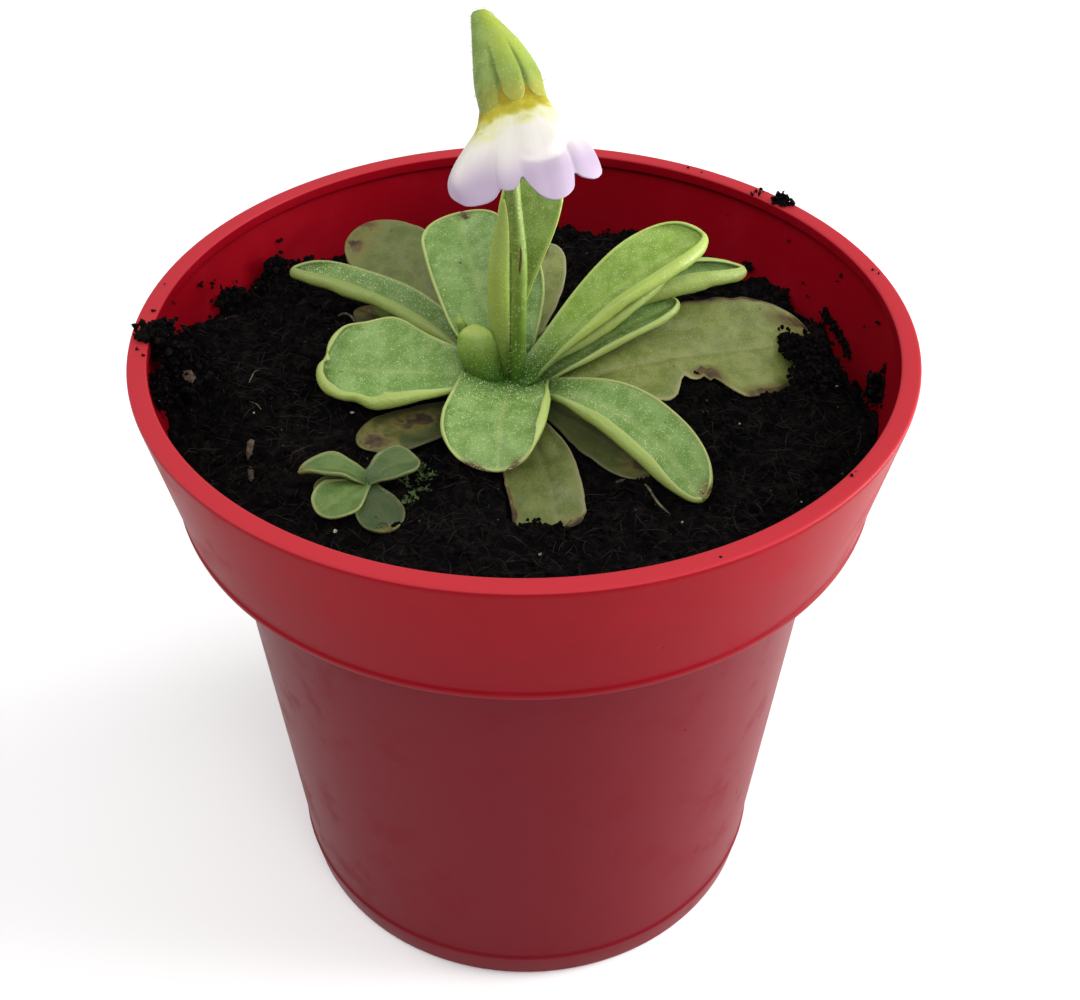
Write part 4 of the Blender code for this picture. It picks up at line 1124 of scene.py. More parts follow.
def hood(name, route, half_widths, depth_share, bare=0.0):
    """A closed tube on a smooth route; 'depth_share' is its depth over its width. Marks are those of a leaf.

    'bare' from 0 to 1 tells how far down from the tip the paler underside shows.
    """
    rows, sides = 48, 32
    line = smooth_route(route, rows)
    half = np.interp(np.linspace(0, len(half_widths) - 1, rows), np.arange(len(half_widths)), half_widths)
    half = np.convolve(np.pad(half, 2, "edge"), [0.1, 0.2, 0.4, 0.2, 0.1], "valid")
    half[-1] = half_widths[-1]
    angle = np.arange(sides) * 2 * np.pi / sides
    radii = half[:, None] / np.sqrt(np.cos(angle) ** 2 + (np.sin(angle) / depth_share) ** 2)[None]
    far = np.full((rows, sides), 6.0)
    share = np.linspace(0, 1, rows)[:, None] * np.ones(sides)
    marks = {"along": share * 0.62 - 0.2 + 0.2 * bare, "across": far, "margin": far,
             "upper": 1 - smooth_step(share * 2 - 1 + 1.2 * bare),
             "dry": far * 0, "shade": far * 0}
    return tube_piece(name, line, radii, sides, marks)[0]


FOLD_ROUTE = ((-2.7, 0.3, 99.1), (-3.5, 0.9, 103.7), (-3.8, 1.5, 108.8), (-4.0, 2.2, 113.7), (-3.9, 3.0, 118.4),
              (-3.5, 4.2, 122.8), (-3.2, 5.2, 125.9), (-3.15, 6.0, 128.4))
FOLD_HALF_WIDTHS = (0.45, 1.2, 1.5, 1.7, 1.65, 1.3, 0.8, 0.25)
SHOOT_ROUTE = ((-18.6, 15.6, 99.0), (-21.1, 17.4, 99.8), (-22.8, 18.0, 100.3), (-24.6, 19.4, 100.7),
               (-25.6, 20.2, 100.9))
SHOOT_HALF_WIDTHS = (0.5, 1.0, 1.1, 0.9, 0.3)

fold = hood("leaf_young_upright_fold", FOLD_ROUTE, FOLD_HALF_WIDTHS, 0.5, 1.0)
settle(fold, LEAF_MATERIALS["young"], "leaf_young", "leaf_young_upright")
shoot = hood("leaf_left_shoot", SHOOT_ROUTE, SHOOT_HALF_WIDTHS, 0.7, 0.5)
settle(shoot, LEAF_MATERIALS["grown"], "leaf_green", "leaf_left_long")
bud = join([hood("bud_hood", BUD_ROUTE, BUD_HALF_WIDTHS, 0.62),
            hood("bud_tip", BUD_TIP_ROUTE, BUD_TIP_HALF_WIDTHS, 0.7)], "leaf_young_bud_hood")
settle(bud, LEAF_MATERIALS["young"], "leaf_young", "leaf_young_bud")

# %% [markdown]
# ## The flower
# The flower hangs mouth down. Its tube widens into a skirt whose edge is cut into lobes. A cup of separate
# petals would show seams, so it is one sheet in the flower's own frame: along its axis, to the side and to the
# front. Each ring of the sheet is a tilted oval whose left and right edges come from a table, and the sheet
# ends at a margin whose distance along the axis depends on the angle. The notches between the lobes are low
# places of that margin, and each lobe bulges a little between its notches.

# %% Flower shape
FLOWER_TOP = np.array([-5.0, 1.0, 159.4])
FLOWER_AXIS = np.array([0.2199, -0.6798, -0.6998])
FLOWER_SIDE = np.array([0.9755, 0.1465, 0.1642])
FLOWER_FRONT = np.cross(FLOWER_SIDE, FLOWER_AXIS)
FLOWER_FRONT = (FLOWER_FRONT if FLOWER_FRONT[2] > 0 else -FLOWER_FRONT) + 0.3 * FLOWER_AXIS
# along the axis, left edge, right edge, half depth
FLOWER_EDGES = ((-0.3, -1.0, -0.9, 0.05), (-0.22, -1.7, -0.2, 0.7), (0.3, -2.15, 0.45, 1.15), (1.2, -2.35, 1.05, 1.5),
                (3.4, -2.75, 2.45, 2.3), (5.9, -3.15, 3.75, 3.0), (9.1, -3.7, 4.9, 3.7), (11.5, -3.95, 5.3, 4.0),
                (14.0, -4.3, 5.6, 4.4), (15.6, -4.95, 6.3, 4.9), (17.5, -6.8, 7.4, 6.0), (19.5, -8.6, 8.35, 7.2),
                (21.4, -9.75, 9.05, 8.2), (23.4, -10.1, 9.4, 8.9), (25.2, -10.0, 9.45, 9.2), (27.5, -9.9, 9.4, 9.3))
# angle from the front to the right, distance of the margin along the axis
COROLLA_MARGIN = ((-104, 20.8), (-96, 21.1), (-90, 21.5), (-80, 22.6), (-72, 23.9), (-64, 24.7), (-56, 25.2),
                  (-47, 25.4), (-35, 25.3), (-28, 24.8), (-22, 23.9), (-18, 24.2), (-12, 24.3), (-7, 23.8),
                  (-2.5, 22.9), (1, 24.2), (7, 25.8), (15, 26.7), (23, 26.8), (30, 26.5), (37, 25.7),
                  (41, 24.0), (48, 24.8), (60, 25.4), (70, 25.2), (77, 24.8), (90, 23.3), (102, 21.8),
                  (110, 21.0), (122, 22.9), (146, 24.6), (168, 23.2), (180, 21.2), (192, 23.2), (214, 24.6),
                  (236, 23.0), (248, 21.2), (256, 20.8))
FIRST_ANGLE = -104
COROLLA_NOTCHES = (FIRST_ANGLE, -22, -2.5, 41, 110, 180, 256)
CALYX_NOTCHES = (FIRST_ANGLE, -20, 28, 98, 176, 256)
CALYX_NOTCH_ENDS = (10.4, 10.3, 10.9, 10.6, 10.4)
CALYX_TONGUE_ENDS = (15.0, 13.2, 13.7, 12.8, 12.8)
COROLLA_GRID = (60, 232)       # rows along the flower and columns round it
CALYX_GRID = (48, 200)
COROLLA_START = 3.0            # along the axis, hidden under the calyx
CALYX_START = -0.3
FLOWER_LENGTH = 28
SHEET_THICKNESS = 0.3


def between_notches(angle, notches):
    """For each angle, the number of its lobe, and its place in it from 0 at one notch to 1 at the next."""
    notches = np.array(notches, float)
    k = np.clip(np.searchsorted(notches, angle, "right") - 1, 0, len(notches) - 2)
    return k, (angle - notches[k]) / (notches[k + 1] - notches[k])


def flower_sheet(along, angle, lift):
    """Point at each distance along the axis and angle: an oval ring through the edges, lifted outwards."""
    table = smooth_route(FLOWER_EDGES, 400)
    left, right, depth = (np.interp(along, table[:, 0], table[:, k]) for k in (1, 2, 3))
    side = (left + right) / 2 + ((right - left) / 2 + lift) * np.sin(angle)
    front = (depth + lift) * np.cos(angle)
    return (FLOWER_TOP + along[..., None] * FLOWER_AXIS + side[..., None] * FLOWER_SIDE
            + front[..., None] * FLOWER_FRONT)


def sheet_piece(name, points, marks, thickness):
    """A ring-shaped sheet closed over its first ring, given its thickness towards the inside."""
    rows, columns = points.shape[:2]
    tip = points[0].mean(0)
    spread = {key: np.append(values.ravel(), values[0].mean()) for key, values in marks.items()}
    faces = [grid_faces(rows, columns, wrap=True), fan_faces(np.arange(columns)[::-1], rows * columns)]
    piece = make_mesh(name, np.vstack([points.reshape(-1, 3), tip]), faces, marks=spread)
    solid = piece.modifiers.new("Thickness", "SOLIDIFY")
    solid.thickness = thickness * MM
    solid.offset = -1
    return piece


def corolla_piece():
    """The corolla, from its start under the calyx to the margin of each angle.

    At the share p of the way between two notches, a lobe bulges by sin(pi p)^0.8. The upper front is swollen, and
    a fold and a hollow beside it run down the left, each a bell curve in the angle.
    """
    rows, columns = COROLLA_GRID
    angle = FIRST_ANGLE + 360 * np.arange(columns)[None] / columns
    end = np.interp(angle, *smooth_route(COROLLA_MARGIN, 1200).T)
    u = (1 - (1 - np.linspace(0, 1, rows)) ** 1.25)[:, None]
    along = COROLLA_START + (end - COROLLA_START) * u
    k, place = between_notches(angle, COROLLA_NOTCHES)
    width = np.diff(COROLLA_NOTCHES)[k] / 60
    lobe = np.minimum(width, 1) * (np.sin(np.pi * place) ** 0.8 - 0.45)
    grown = smooth_step((along - 15.5) / 7)
    foot = 21.4 - 2.4 * ((angle - 18) / 34) ** 2
    swollen = (smooth_step((angle + 10) / 18) * smooth_step((74 - angle) / 28) * smooth_step((along - 12.5) / 3.5)
               * smooth_step((foot - along) / 2.0))
    fold = np.exp(-((angle + 58) / 9) ** 2) - 0.9 * np.exp(-((angle + 34) / 9) ** 2)
    ripple = 0.3 * noise(angle / 16, along / 5, 1.0, 91)
    folded = fold * smooth_step((along - 15) / 4) * smooth_step((25 - along) / 4)
    lift = (0.9 * lobe * grown + 0.9 * swollen + 0.5 * folded + ripple * grown
            - 0.35 * smooth_step((15 - along) / 3))
    points = flower_sheet(along, np.radians(angle), lift)
    violet = smooth_step((along - 17.6 - 1.6 * np.exp(-((angle + 12) / 12) ** 2)) / 5.5)
    # painted highlight: less violet on the ridge of the fold at the left
    violet = violet * (1 - 0.8 * np.exp(-((angle + 58) / 12) ** 2) * smooth_step((24 - along) / 4))
    inside = smooth_step((angle + 6) / 8) * smooth_step((66 - angle) / 10) * smooth_step((foot + 0.5 - along) / 0.7)
    return points, {"reach": along / FLOWER_LENGTH, "around": angle / 180 + 0 * along, "violet": violet * (1 - inside)}


def calyx_piece():
    """The calyx: five tongues that lie on the tube, with a groove between each two.

    At the share a of the way from a tongue's middle to its notch, it ends (1 - a^1.9)^0.62 of its length below
    the notch.
    """
    rows, columns = CALYX_GRID
    angle = FIRST_ANGLE + 360 * np.arange(columns)[None] / columns
    k, place = between_notches(angle, CALYX_NOTCHES)
    foot, tip = np.array(CALYX_NOTCH_ENDS)[k], np.array(CALYX_TONGUE_ENDS)[k]
    away = np.abs(2 * place - 1)
    end = foot + (tip - foot) * (1 - away ** 1.9) ** 0.62
    u = np.linspace(0, 1, rows)[:, None]
    along = CALYX_START + (end - CALYX_START) * u ** 1.3
    seam = np.exp(-((1 - away) / 0.13) ** 2) * smooth_step((along - 3.5) / 4)
    swell = 0.12 * np.sqrt(1 - away ** 2.2) * smooth_step((along - 2) / 5)
    thin = smooth_step((u - 0.8) / 0.2)
    points = flower_sheet(along, np.radians(angle), swell - 0.14 * seam - 0.32 * thin)
    fading = smooth_step((along - 8.5) / 5) * (0.35 + 0.65 * smooth_step((angle + 70) / 50))
    return points, {"reach": along / FLOWER_LENGTH, "around": angle / 180 + 0 * along, "seam": seam, "fading": fading}


# %% [markdown]
# The colour runs along the flower. The calyx is green, with painted shade in its grooves and at the left, and a
# painted highlight, paler and yellower, at the upper right where light falls and shines through. Under it the tube is
# olive, then yellow, and turns white and violet.

# %% Flower finish


def petal_material():
    """Olive, yellow and white by distance along the flower, violet by its own mark, with faint veins."""
    material, tree, shader = new_material("petal", Roughness=0.6, Specular_IOR_Level=0.2)
    reach = mark(tree, "reach")
    wander = put(tree, "ShaderNodeTexNoise", {"Vector": place_socket(tree), "Scale": 420.0, "Detail": 2.0})
    shifted = sums(tree, "ADD", reach, ranged(tree, wander.outputs[0], 0.3, 0.7, -0.03, 0.03))
    shifted = sums(tree, "SUBTRACT", shifted, ranged(tree, mark(tree, "around"), 0.05, -0.25, 0.0, 0.035))
    ramp = put(tree, "ShaderNodeValToRGB", {0: shifted})
    stops = ((0.0, colour(106, 132, 46)), (0.37, colour(106, 124, 36)), (0.395, colour(134, 98, 12)),
             (0.44, colour(136, 122, 16)), (0.495, colour(168, 160, 44)), (0.54, colour(200, 200, 150)),
             (0.59, colour(208, 204, 194)), (1.0, colour(200, 190, 198)))
    ramp.color_ramp.elements.remove(ramp.color_ramp.elements[1])
    for k, (place, tint) in enumerate(stops):
        stop = ramp.color_ramp.elements[0] if k == 0 else ramp.color_ramp.elements.new(place)
        stop.position = place
        stop.color = tint
    veins = put(tree, "ShaderNodeMath", {0: scaled(tree, mark(tree, "around"), 130.0)}, operation="SINE")
    lines = ranged(tree, veins.outputs[0], 0.7, 1.0)
    line_tint = mixed(tree, ranged(tree, reach, 0.4, 0.6), colour(104, 96, 16), colour(176, 150, 190))
    body = layered(tree, ramp.outputs[0], (mark(tree, "violet"), colour(164, 148, 168)), (lines, line_tint, 0.05))
    tree.links.new(body, shader["Base Color"])
    bumped(tree, shader, sums(tree, "ADD", scaled(tree, lines, 0.3), grain(tree, 0.5, 3.0, 1.0)), 0.35, 0.05)
    return material


def calyx_material():
    """Green with a painted highlight, paler and yellower, to the upper right, painted shade in the grooves and at the
    left, and pale gland specks.
    """
    material, tree, shader = new_material("calyx", Roughness=0.5, Specular_IOR_Level=0.4)
    reach, around = mark(tree, "reach"), mark(tree, "around")
    # painted light: a darker green at the left, and at the upper right a paler, yellower green where light falls
    left = mixed(tree, ranged(tree, reach, 0.1, 0.5), colour(98, 122, 36), colour(90, 110, 40))
    right = mixed(tree, ranged(tree, reach, 0.15, 0.4), colour(150, 166, 58), colour(112, 134, 44))
    body = layered(tree, left,
                   (ranged(tree, around, -0.3, 0.2), right),
                   (patches(tree, 2.4, 0.35, 0.65), colour(142, 162, 84), 0.35),
                   (mark(tree, "fading"), colour(146, 138, 30), 0.8),
                   # painted shade in the grooves
                   (mark(tree, "seam"), colour(66, 86, 14), 0.75),
                   (specks(tree, 0.4, 0.26, 0.4), colour(196, 210, 136), 0.35))
    tree.links.new(body, shader["Base Color"])
    bumped(tree, shader, grain(tree, 0.4, 2.0, 1.0), 0.6, 0.08)
    return material


settle(sheet_piece("corolla_petals", *corolla_piece(), SHEET_THICKNESS), petal_material(), "petal", "corolla")
settle(sheet_piece("calyx_sepals", *calyx_piece(), SHEET_THICKNESS), calyx_material(), "stalk_green", "calyx")

# %% [markdown]
# Stalk and calyx carry short gland hairs, each a thin stem with a drop at its tip. Against the light they
# give the outline its soft edge. They are two pieces of a few hundred three-sided tubes each.

# %% Gland hairs
OCTAHEDRON = np.array([(1, 0, 0), (-1, 0, 0), (0, 1, 0), (0, -1, 0), (0, 0, 1), (0, 0, -1)], float)
OCTAHEDRON_FACES = np.array([(0, 2, 4), (2, 1, 4), (1, 3, 4), (3, 0, 4), (2, 0, 5), (1, 2, 5), (3, 1, 5), (0, 3, 5)])


def hair_cloud(draw, feet, ways, long, thick=0.03):
    """Three-sided tapering stems on the given feet, leaning a little, each with an eight-sided drop."""
    count = len(feet)
    way = unit(ways + draw.normal(0, 0.25, (count, 3)))
    side = unit(np.cross(way, [0.3, 0.5, 0.8]))
    other = np.cross(way, side)
    length = long * draw.uniform(0.5, 1.2, (count, 1))
    spin = np.arange(3) * 2 * np.pi / 3
    ring = np.cos(spin)[None, :, None] * side[:, None] + np.sin(spin)[None, :, None] * other[:, None]
    tips = feet + way * length
    stems = np.concatenate([feet[:, None] + ring * thick, tips[:, None] + ring * thick * 0.5], 1)
    drops = OCTAHEDRON[None] * thick * 1.8 + tips[:, None]
    points = np.vstack([stems.reshape(-1, 3), drops.reshape(-1, 3)])
    return points, [repeated(grid_faces(2, 3, wrap=True), 6, count),
                    repeated(OCTAHEDRON_FACES, 6, count, first=6 * count)]


def outer_hairs(draw, rings, count):
    """Feet at random points of a grid of rings, with ways that lead outwards from the rings' middles."""
    r, c = draw.integers(0, rings.shape[0], count), draw.integers(0, rings.shape[1], count)
    feet = rings[r, c]
    return feet, unit(feet - rings.mean(1)[r])


# from which ring on hairs stand, how many, and how long they are
SCAPE_HAIRS = (8, 420, 0.45)
CALYX_HAIRS = (4, 260, 0.4)
hair_draw = np.random.default_rng(5)
scape_feet = outer_hairs(hair_draw, scape_rings[SCAPE_HAIRS[0]:], SCAPE_HAIRS[1])
calyx_feet = outer_hairs(hair_draw, calyx_piece()[0][CALYX_HAIRS[0]:], CALYX_HAIRS[1])
GLAND_HAIR = two_tone("gland_hair", 1.0, colour(150, 170, 96), colour(196, 208, 150), Roughness=0.3,
                      Specular_IOR_Level=0.5)[0]
for name, feet, long in (("scape_hairs", scape_feet, SCAPE_HAIRS[2]), ("calyx_hairs", calyx_feet, CALYX_HAIRS[2])):
    points, face_sets = hair_cloud(hair_draw, *feet, long)
    settle(make_mesh(name, points, face_sets, closed=False), GLAND_HAIR, "stalk_green")

# %% [markdown]
# ## The plantlet
# Butterworts make new plants at the tips of old leaves. This one has five small leaves. They use the same leaf
# formula at a smaller size, and all start from one place.

# %% Plantlet
PLANTLET_AT = (-23.3, -23.3, 98.3)
PLANTLET_LEAVES = (
    dict(heading=172, turn=10, rise=(30, 10, -30), length=10.2, width=7.2, widest=0.5, neck=0.4, cup=25, blunt=1.4,
         shade=0.55, twist=14),
    dict(heading=24, turn=8, rise=(20, 8, -10), length=8.2, width=7.0, widest=0.55, neck=0.45, cup=22, shade=0.68),
    dict(heading=-124, turn=-16, rise=(6, -2, -8), length=9.6, width=7.4, widest=0.58, neck=0.35, cup=16, shade=0.46,
         twist=-8),
    dict(heading=-74, turn=12, rise=(-8, -6, -4), length=11.0, width=6.8, widest=0.6, neck=0.35, cup=8, shade=0.84),
    dict(heading=200, turn=-10, rise=(-2, 0, 0), length=7.6, width=4.2, widest=0.6, neck=0.4, cup=12, shade=0.66),
)


def plantlet_piece():
    """Five small leaves from one place, joined; two of them have dry tips."""
    parts = []
    for k, row in enumerate(PLANTLET_LEAVES):
        blade = leaf(0, 0, 0, wave=0.15, channel=0, curl=((120, 0.3),) * 3, thickness=0.7,
                     dry=((1.0, 0, 0.12, 1.0),) if k in (0, 3) else (), **row)
        parts.append(leaf_skin(f"plantlet_leaf_{k + 1}", blade, PLANTLET_AT, rows=40, columns=21)[0])
    return join(parts, "plantlet_rosette")


settle(plantlet_piece(), LEAF_MATERIALS["grown"], "leaf_green", "plantlet")

# %% [markdown]
# ## The peat
# The soil is dark peat. A flat disc with a bump map would look painted, because the eye reads the crumbs'
# shadows. So the surface is made in three layers: a bed whose height is a formula, thousands of angular
# crumbs, and fibres that lie on them. The bed is a square grid bent into a disc, so that its cells are of
# even size, with a skirt that follows the pot's inner wall down to the floor.

# %% Where the leaves lie
CELL = 0.6
REACH = 66
NO_LEAF = 999.0


def lowest_leaf_map():
    """The lowest leaf point over each small square of the pot, spread to the neighbouring squares."""
    count = int(2 * REACH / CELL)
    low = np.full((count, count), NO_LEAF)
    for blade in LEAVES.values():
        fine = leaf_surface(blade, leaf_start(blade), np.linspace(-0.02, 1, 110), np.linspace(-1, 1, 55))[0]
        i, j = ((fine[..., :2].reshape(-1, 2) + REACH) / CELL).astype(int).T
        np.minimum.at(low, (i, j), fine[..., 2].ravel())
    for axis in (0, 1):
        low = np.minimum(low, np.minimum(np.roll(low, 1, axis), np.roll(low, -1, axis)))
    return low


LOWEST = lowest_leaf_map()


def leaf_over(x, y):
    """Height of the lowest leaf above a place, or NO_LEAF where there is none."""
    i, j = (np.clip(((place + REACH) / CELL).astype(int), 0, len(LOWEST) - 1) for place in (x, y))
    return LOWEST[i, j]


# %% [markdown]
# The bed's broad form is the solid's: a dish with bumps and hollows, each a bell curve. Crumbled peat adds
# noise in several sizes. Where a leaf lies on the soil, its underside limits the height.

# %% Peat bed
SOIL_HEIGHT = 96.0
BED_CELLS = 272
SKIRT_LEVELS = (BAND_FOOT + 3.2, BAND_FOOT + 1.7, BAND_FOOT - 6, 40, FLOOR_HEIGHT + 0.2)
# bumps and hollows: height, middle x, middle y, half width
BELLS = ((5.5, -54, 14, 15), (1.5, -6, 52, 18), (-3.2, 38, 38, 14), (-2.6, 53.5, 2.5, 4.5), (1.8, 28, 43, 6),
         (2.0, 47, 6, 4.5), (3.6, 44, 34, 4.0), (-3.2, 55, 14, 4.5), (-1.5, -51, -12, 6),
         (-2.2, -47.5, 25.5, 4.0), (2.4, -41.5, 31.5, 3.0))


def soil_relief(x, y):
    """Small waves, a rise towards the front, and bells: height times exp(-distance^2 / (2 half^2))."""
    lumps = 0.5 * np.sin(x / 3.1 + 1.3 * np.sin(y / 4.3)) * np.sin(y / 3.7 + 1.1 * np.sin(x / 5.2))
    bells = sum(high * np.exp(-((x - middle_x) ** 2 + (y - middle_y) ** 2) / (2 * half ** 2))
                for high, middle_x, middle_y, half in BELLS)
    return SOIL_HEIGHT + 1.5 * smooth_step((-y - 20) / 30) + lumps + bells


def soil_height(x, y):
    """Relief plus noise in several sizes, rougher at the wall, and held a hair below any leaf that lies on it."""
    x_far, y_far = x + 80, y + 80
    broad = 1.2 * roughness_sum(x_far, y_far, 9.0, 43, 2)
    ridged = 1.1 * (0.5 - np.abs(roughness_sum(x_far, y_far, 3.6, 41, 2)))
    fine = 0.7 * np.abs(roughness_sum(x_far, y_far, 1.7, 51, 3))
    ragged = 1.0 * noise(x_far, y_far, 2.6, 45) * smooth_step((np.hypot(x, y) - 49) / 5)
    return np.minimum(soil_relief(x, y) + broad + ridged + fine + ragged - 0.7, leaf_over(x, y) - 0.55)


def ground_at(x, y):
    """The soil's height at one place."""
    return float(soil_height(np.array([x]), np.array([y]))[0])


def wall_inside(z):
    """Inner radius of the pot at a height."""
    return np.where(z > BAND_FOOT + 2.9, band_radius(z) - POT_WALL, body_radius(z) - POT_WALL) - 0.12


INNER_RADIUS = wall_inside(SOIL_HEIGHT)


def disc_grid(cells):
    """A square grid bent into a disc of radius 1.

    A place (a, b) with |a| >= |b| goes to (a cos t, |a| sin t), where t is 45 degrees times b / |a|. Elsewhere
    a and b change their parts.
    """
    a, b = np.meshgrid(np.linspace(-1, 1, cells), np.linspace(-1, 1, cells), indexing="ij")
    wide = np.abs(a) >= np.abs(b)
    along, other = np.where(wide, a, b), np.where(wide, b, a)
    turn = other / np.where(along != 0, np.abs(along), 1) * np.pi / 4
    long, short = along * np.cos(turn), np.abs(along) * np.sin(turn)
    return np.where(wide, long, short), np.where(wide, short, long)


def towards_way(points, faces, way):
    """The faces, turned over where the first of them looks away from 'way'."""
    a, b, c = points[faces[0, :3]]
    return faces if np.dot(np.cross(b - a, c - a), way) > 0 else faces[:, ::-1]


def soil_piece():
    """The bed, whose border is pulled out to the wall, a skirt of rings that goes down the wall, and a floor."""
    x, y = (share * INNER_RADIUS for share in disc_grid(BED_CELLS))
    z = soil_height(x, y)
    ids = np.arange(BED_CELLS ** 2).reshape(BED_CELLS, BED_CELLS)
    border = np.concatenate([ids[0, :-1], ids[:-1, -1], ids[-1, :0:-1], ids[:0:-1, 0]])
    stretch = wall_inside(z.ravel()[border]) / INNER_RADIUS
    x.ravel()[border] *= stretch
    y.ravel()[border] *= stretch
    bed = np.stack([x, y, z], -1).reshape(-1, 3)
    way = bed[border, :2] / np.linalg.norm(bed[border, :2], axis=1, keepdims=True)
    rings = [np.column_stack([way * min(wall_inside(level), band_radius(level) - POT_WALL - 0.3),
                              np.full(len(way), level)]) for level in SKIRT_LEVELS]
    points = np.vstack([bed, *rings, [[0, 0, SKIRT_LEVELS[-1]]]])
    skirt = np.vstack([border[None], len(bed) + np.arange(len(rings) * len(border)).reshape(len(rings), -1)])
    after = np.roll(skirt, -1, 1)
    side = np.stack([skirt[:-1], after[:-1], after[1:], skirt[1:]], -1).reshape(-1, 4)
    top = grid_faces(BED_CELLS, BED_CELLS)
    print("bed cells:", len(top))
    return make_mesh("soil_bed", points, [
        towards_way(points, top, (0, 0, 1)), towards_way(points, side, points[border[0]] * (1, 1, 0)),
        towards_way(points, fan_faces(skirt[-1], len(points) - 1), (0, 0, -1))], closed=False)


# %% [markdown]
# Wet peat is nearly black and hardly shines. Its finish adds brown patches and a few paler specks, and a height
# that roughens the bed between the crumbs.

# %% Peat finish


def peat_material():
    """Nearly black, with brown patches, a few grey-brown specks and a very rough surface."""
    material, tree, shader = new_material("peat", Roughness=0.95, Specular_IOR_Level=0.07)
    body = layered(tree, colour(5, 4, 5), (patches(tree, 1.6, 0.46, 0.7), colour(26, 19, 17)),
                   (specks(tree, 0.8, 0.25, 0.03), colour(84, 66, 50)))
    tree.links.new(body, shader["Base Color"])
    bumped(tree, shader, grain(tree, 0.5, 1.4, 1.4), 1.0, 0.8)
    return material


PEAT = peat_material()
settle(soil_piece(), PEAT, "peat", "soil")

# %% [markdown]
# A crumb is an icosahedron whose twelve corners are pushed in and out at random, stretched and turned. All
# crumbs are made at once as one array. Small ones are far more common than large ones, as in real peat, and
# the smallest keep only six of the twelve corners.

# %% Crumbs
GOLDEN = (1 + 5 ** 0.5) / 2
SMALL_CRUMB = 0.27
SCATTERED_CRUMBS = 7500
CLUMPS = 230
CRUMBS_IN_CLUMP = 14


def outwards(corners, face):
    """A face of a body round the origin, as it is or turned over, so that it looks outwards."""
    a, b, c = corners[list(face)]
    return face if np.dot(np.cross(b - a, c - a), a) > 0 else face[::-1]


def icosahedron():
    """Twelve corners (0, +-1, +-g), (+-1, +-g, 0), (+-g, 0, +-1) and the twenty faces between neighbours."""
    corners = np.array([place for a in (-1, 1) for b in (-GOLDEN, GOLDEN)
                        for place in ((0, a, b), (a, b, 0), (b, 0, a))], float)
    near = np.isclose(np.linalg.norm(corners[:, None] - corners[None], axis=2), 2)
    faces = [outwards(corners, (i, j, k)) for i in range(12) for j in range(i + 1, 12) for k in range(j + 1, 12)
             if near[i, j] and near[j, k] and near[i, k]]
    return corners / np.linalg.norm(corners[0]), np.array(faces)


def octahedron_in(corners):
    """Numbers of three of the icosahedron's corners and of their opposites, and the eight faces between the six."""
    first = [int(np.argmax(corners @ way)) for way in np.array([(0, 1, GOLDEN), (1, GOLDEN, 0), (GOLDEN, 0, 1)])]
    six = np.array(first + [int(np.argmin(corners @ corners[k])) for k in first])
    faces = [outwards(corners[six], [axis + 3 * sign for axis, sign in enumerate(signs)])
             for signs in np.ndindex(2, 2, 2)]
    return six, np.array(faces)


def random_turns(draw, count):
    """Rotation matrices from random quaternions."""
    w, x, y, z = unit(draw.normal(size=(count, 4))).T
    return np.array([[1 - 2 * (y * y + z * z), 2 * (x * y - z * w), 2 * (x * z + y * w)],
                     [2 * (x * y + z * w), 1 - 2 * (x * x + z * z), 2 * (y * z - x * w)],
                     [2 * (x * z - y * w), 2 * (y * z + x * w), 1 - 2 * (x * x + y * y)]]).transpose(2, 0, 1)


def crumb_cloud(draw, places, sizes):
    """Points and faces of one crumb at each place: first the large ones, then those with six corners."""
    corners, faces = icosahedron()
    six, eight = octahedron_in(corners)
    count = len(places)
    shape = corners[None] * draw.uniform(0.65, 1.25, (count, 12, 1)) * draw.uniform(0.5, 1.3, (count, 1, 3))
    points = np.einsum("nij,nkj->nki", random_turns(draw, count), shape) * sizes[:, None, None] + places[:, None]
    small = sizes < SMALL_CRUMB
    few = int(small.sum())
    large = count - few
    return (np.vstack([points[~small].reshape(-1, 3), points[small][:, six].reshape(-1, 3)]),
            np.vstack([repeated(faces, 12, large), repeated(eight, 6, few, first=12 * large)]))


def crumb_places(draw, count):
    """Places over the disc where no leaf lies close above, and sizes that follow a power law."""
    angle = draw.uniform(0, 2 * np.pi, count)
    radius = INNER_RADIUS * np.sqrt(draw.uniform(0, 1, count)) - 0.3
    x, y = radius * np.cos(angle), radius * np.sin(angle)
    size = 0.16 * (1 - draw.uniform(0, 0.99, count)) ** -0.45
    z = soil_height(x, y) + 0.25 * size
    free = leaf_over(x, y) > z + size * 1.2
    return np.column_stack([x, y, z])[free], size[free]


def clumped(draw, places, sizes, count, each):
    """Adds small crumbs round some of the places, so that crumbs hang together in clumps."""
    chosen = np.repeat(draw.choice(len(places), count), each)
    spread = draw.uniform(0.5, 1.1, (count, 1)).repeat(each, 0)
    near = places[chosen] + draw.normal(size=(count * each, 3)) * spread * [1, 1, 0.35]
    x, y = near[:, 0], near[:, 1]
    near[:, 2] = soil_height(x, y) + np.abs(draw.normal(0, 0.5, len(near)))
    inside = (np.hypot(x, y) < INNER_RADIUS - 0.4) & (leaf_over(x, y) > near[:, 2] + 0.7)
    return np.vstack([places, near[inside]]), np.append(sizes, draw.uniform(0.2, 0.5, int(inside.sum())))


def settle_loose(name, parts, material, *nodes):
    """Several sets of points and faces, as one piece with flat faces that belongs to the peat."""
    counts = np.cumsum([0] + [len(points) for points, _ in parts[:-1]])
    points = np.vstack([points for points, _ in parts])
    faces = np.vstack([faces + first for (_, faces), first in zip(parts, counts)])
    return settle(make_mesh(name, points, [faces], smooth=False), material, "peat", *nodes)


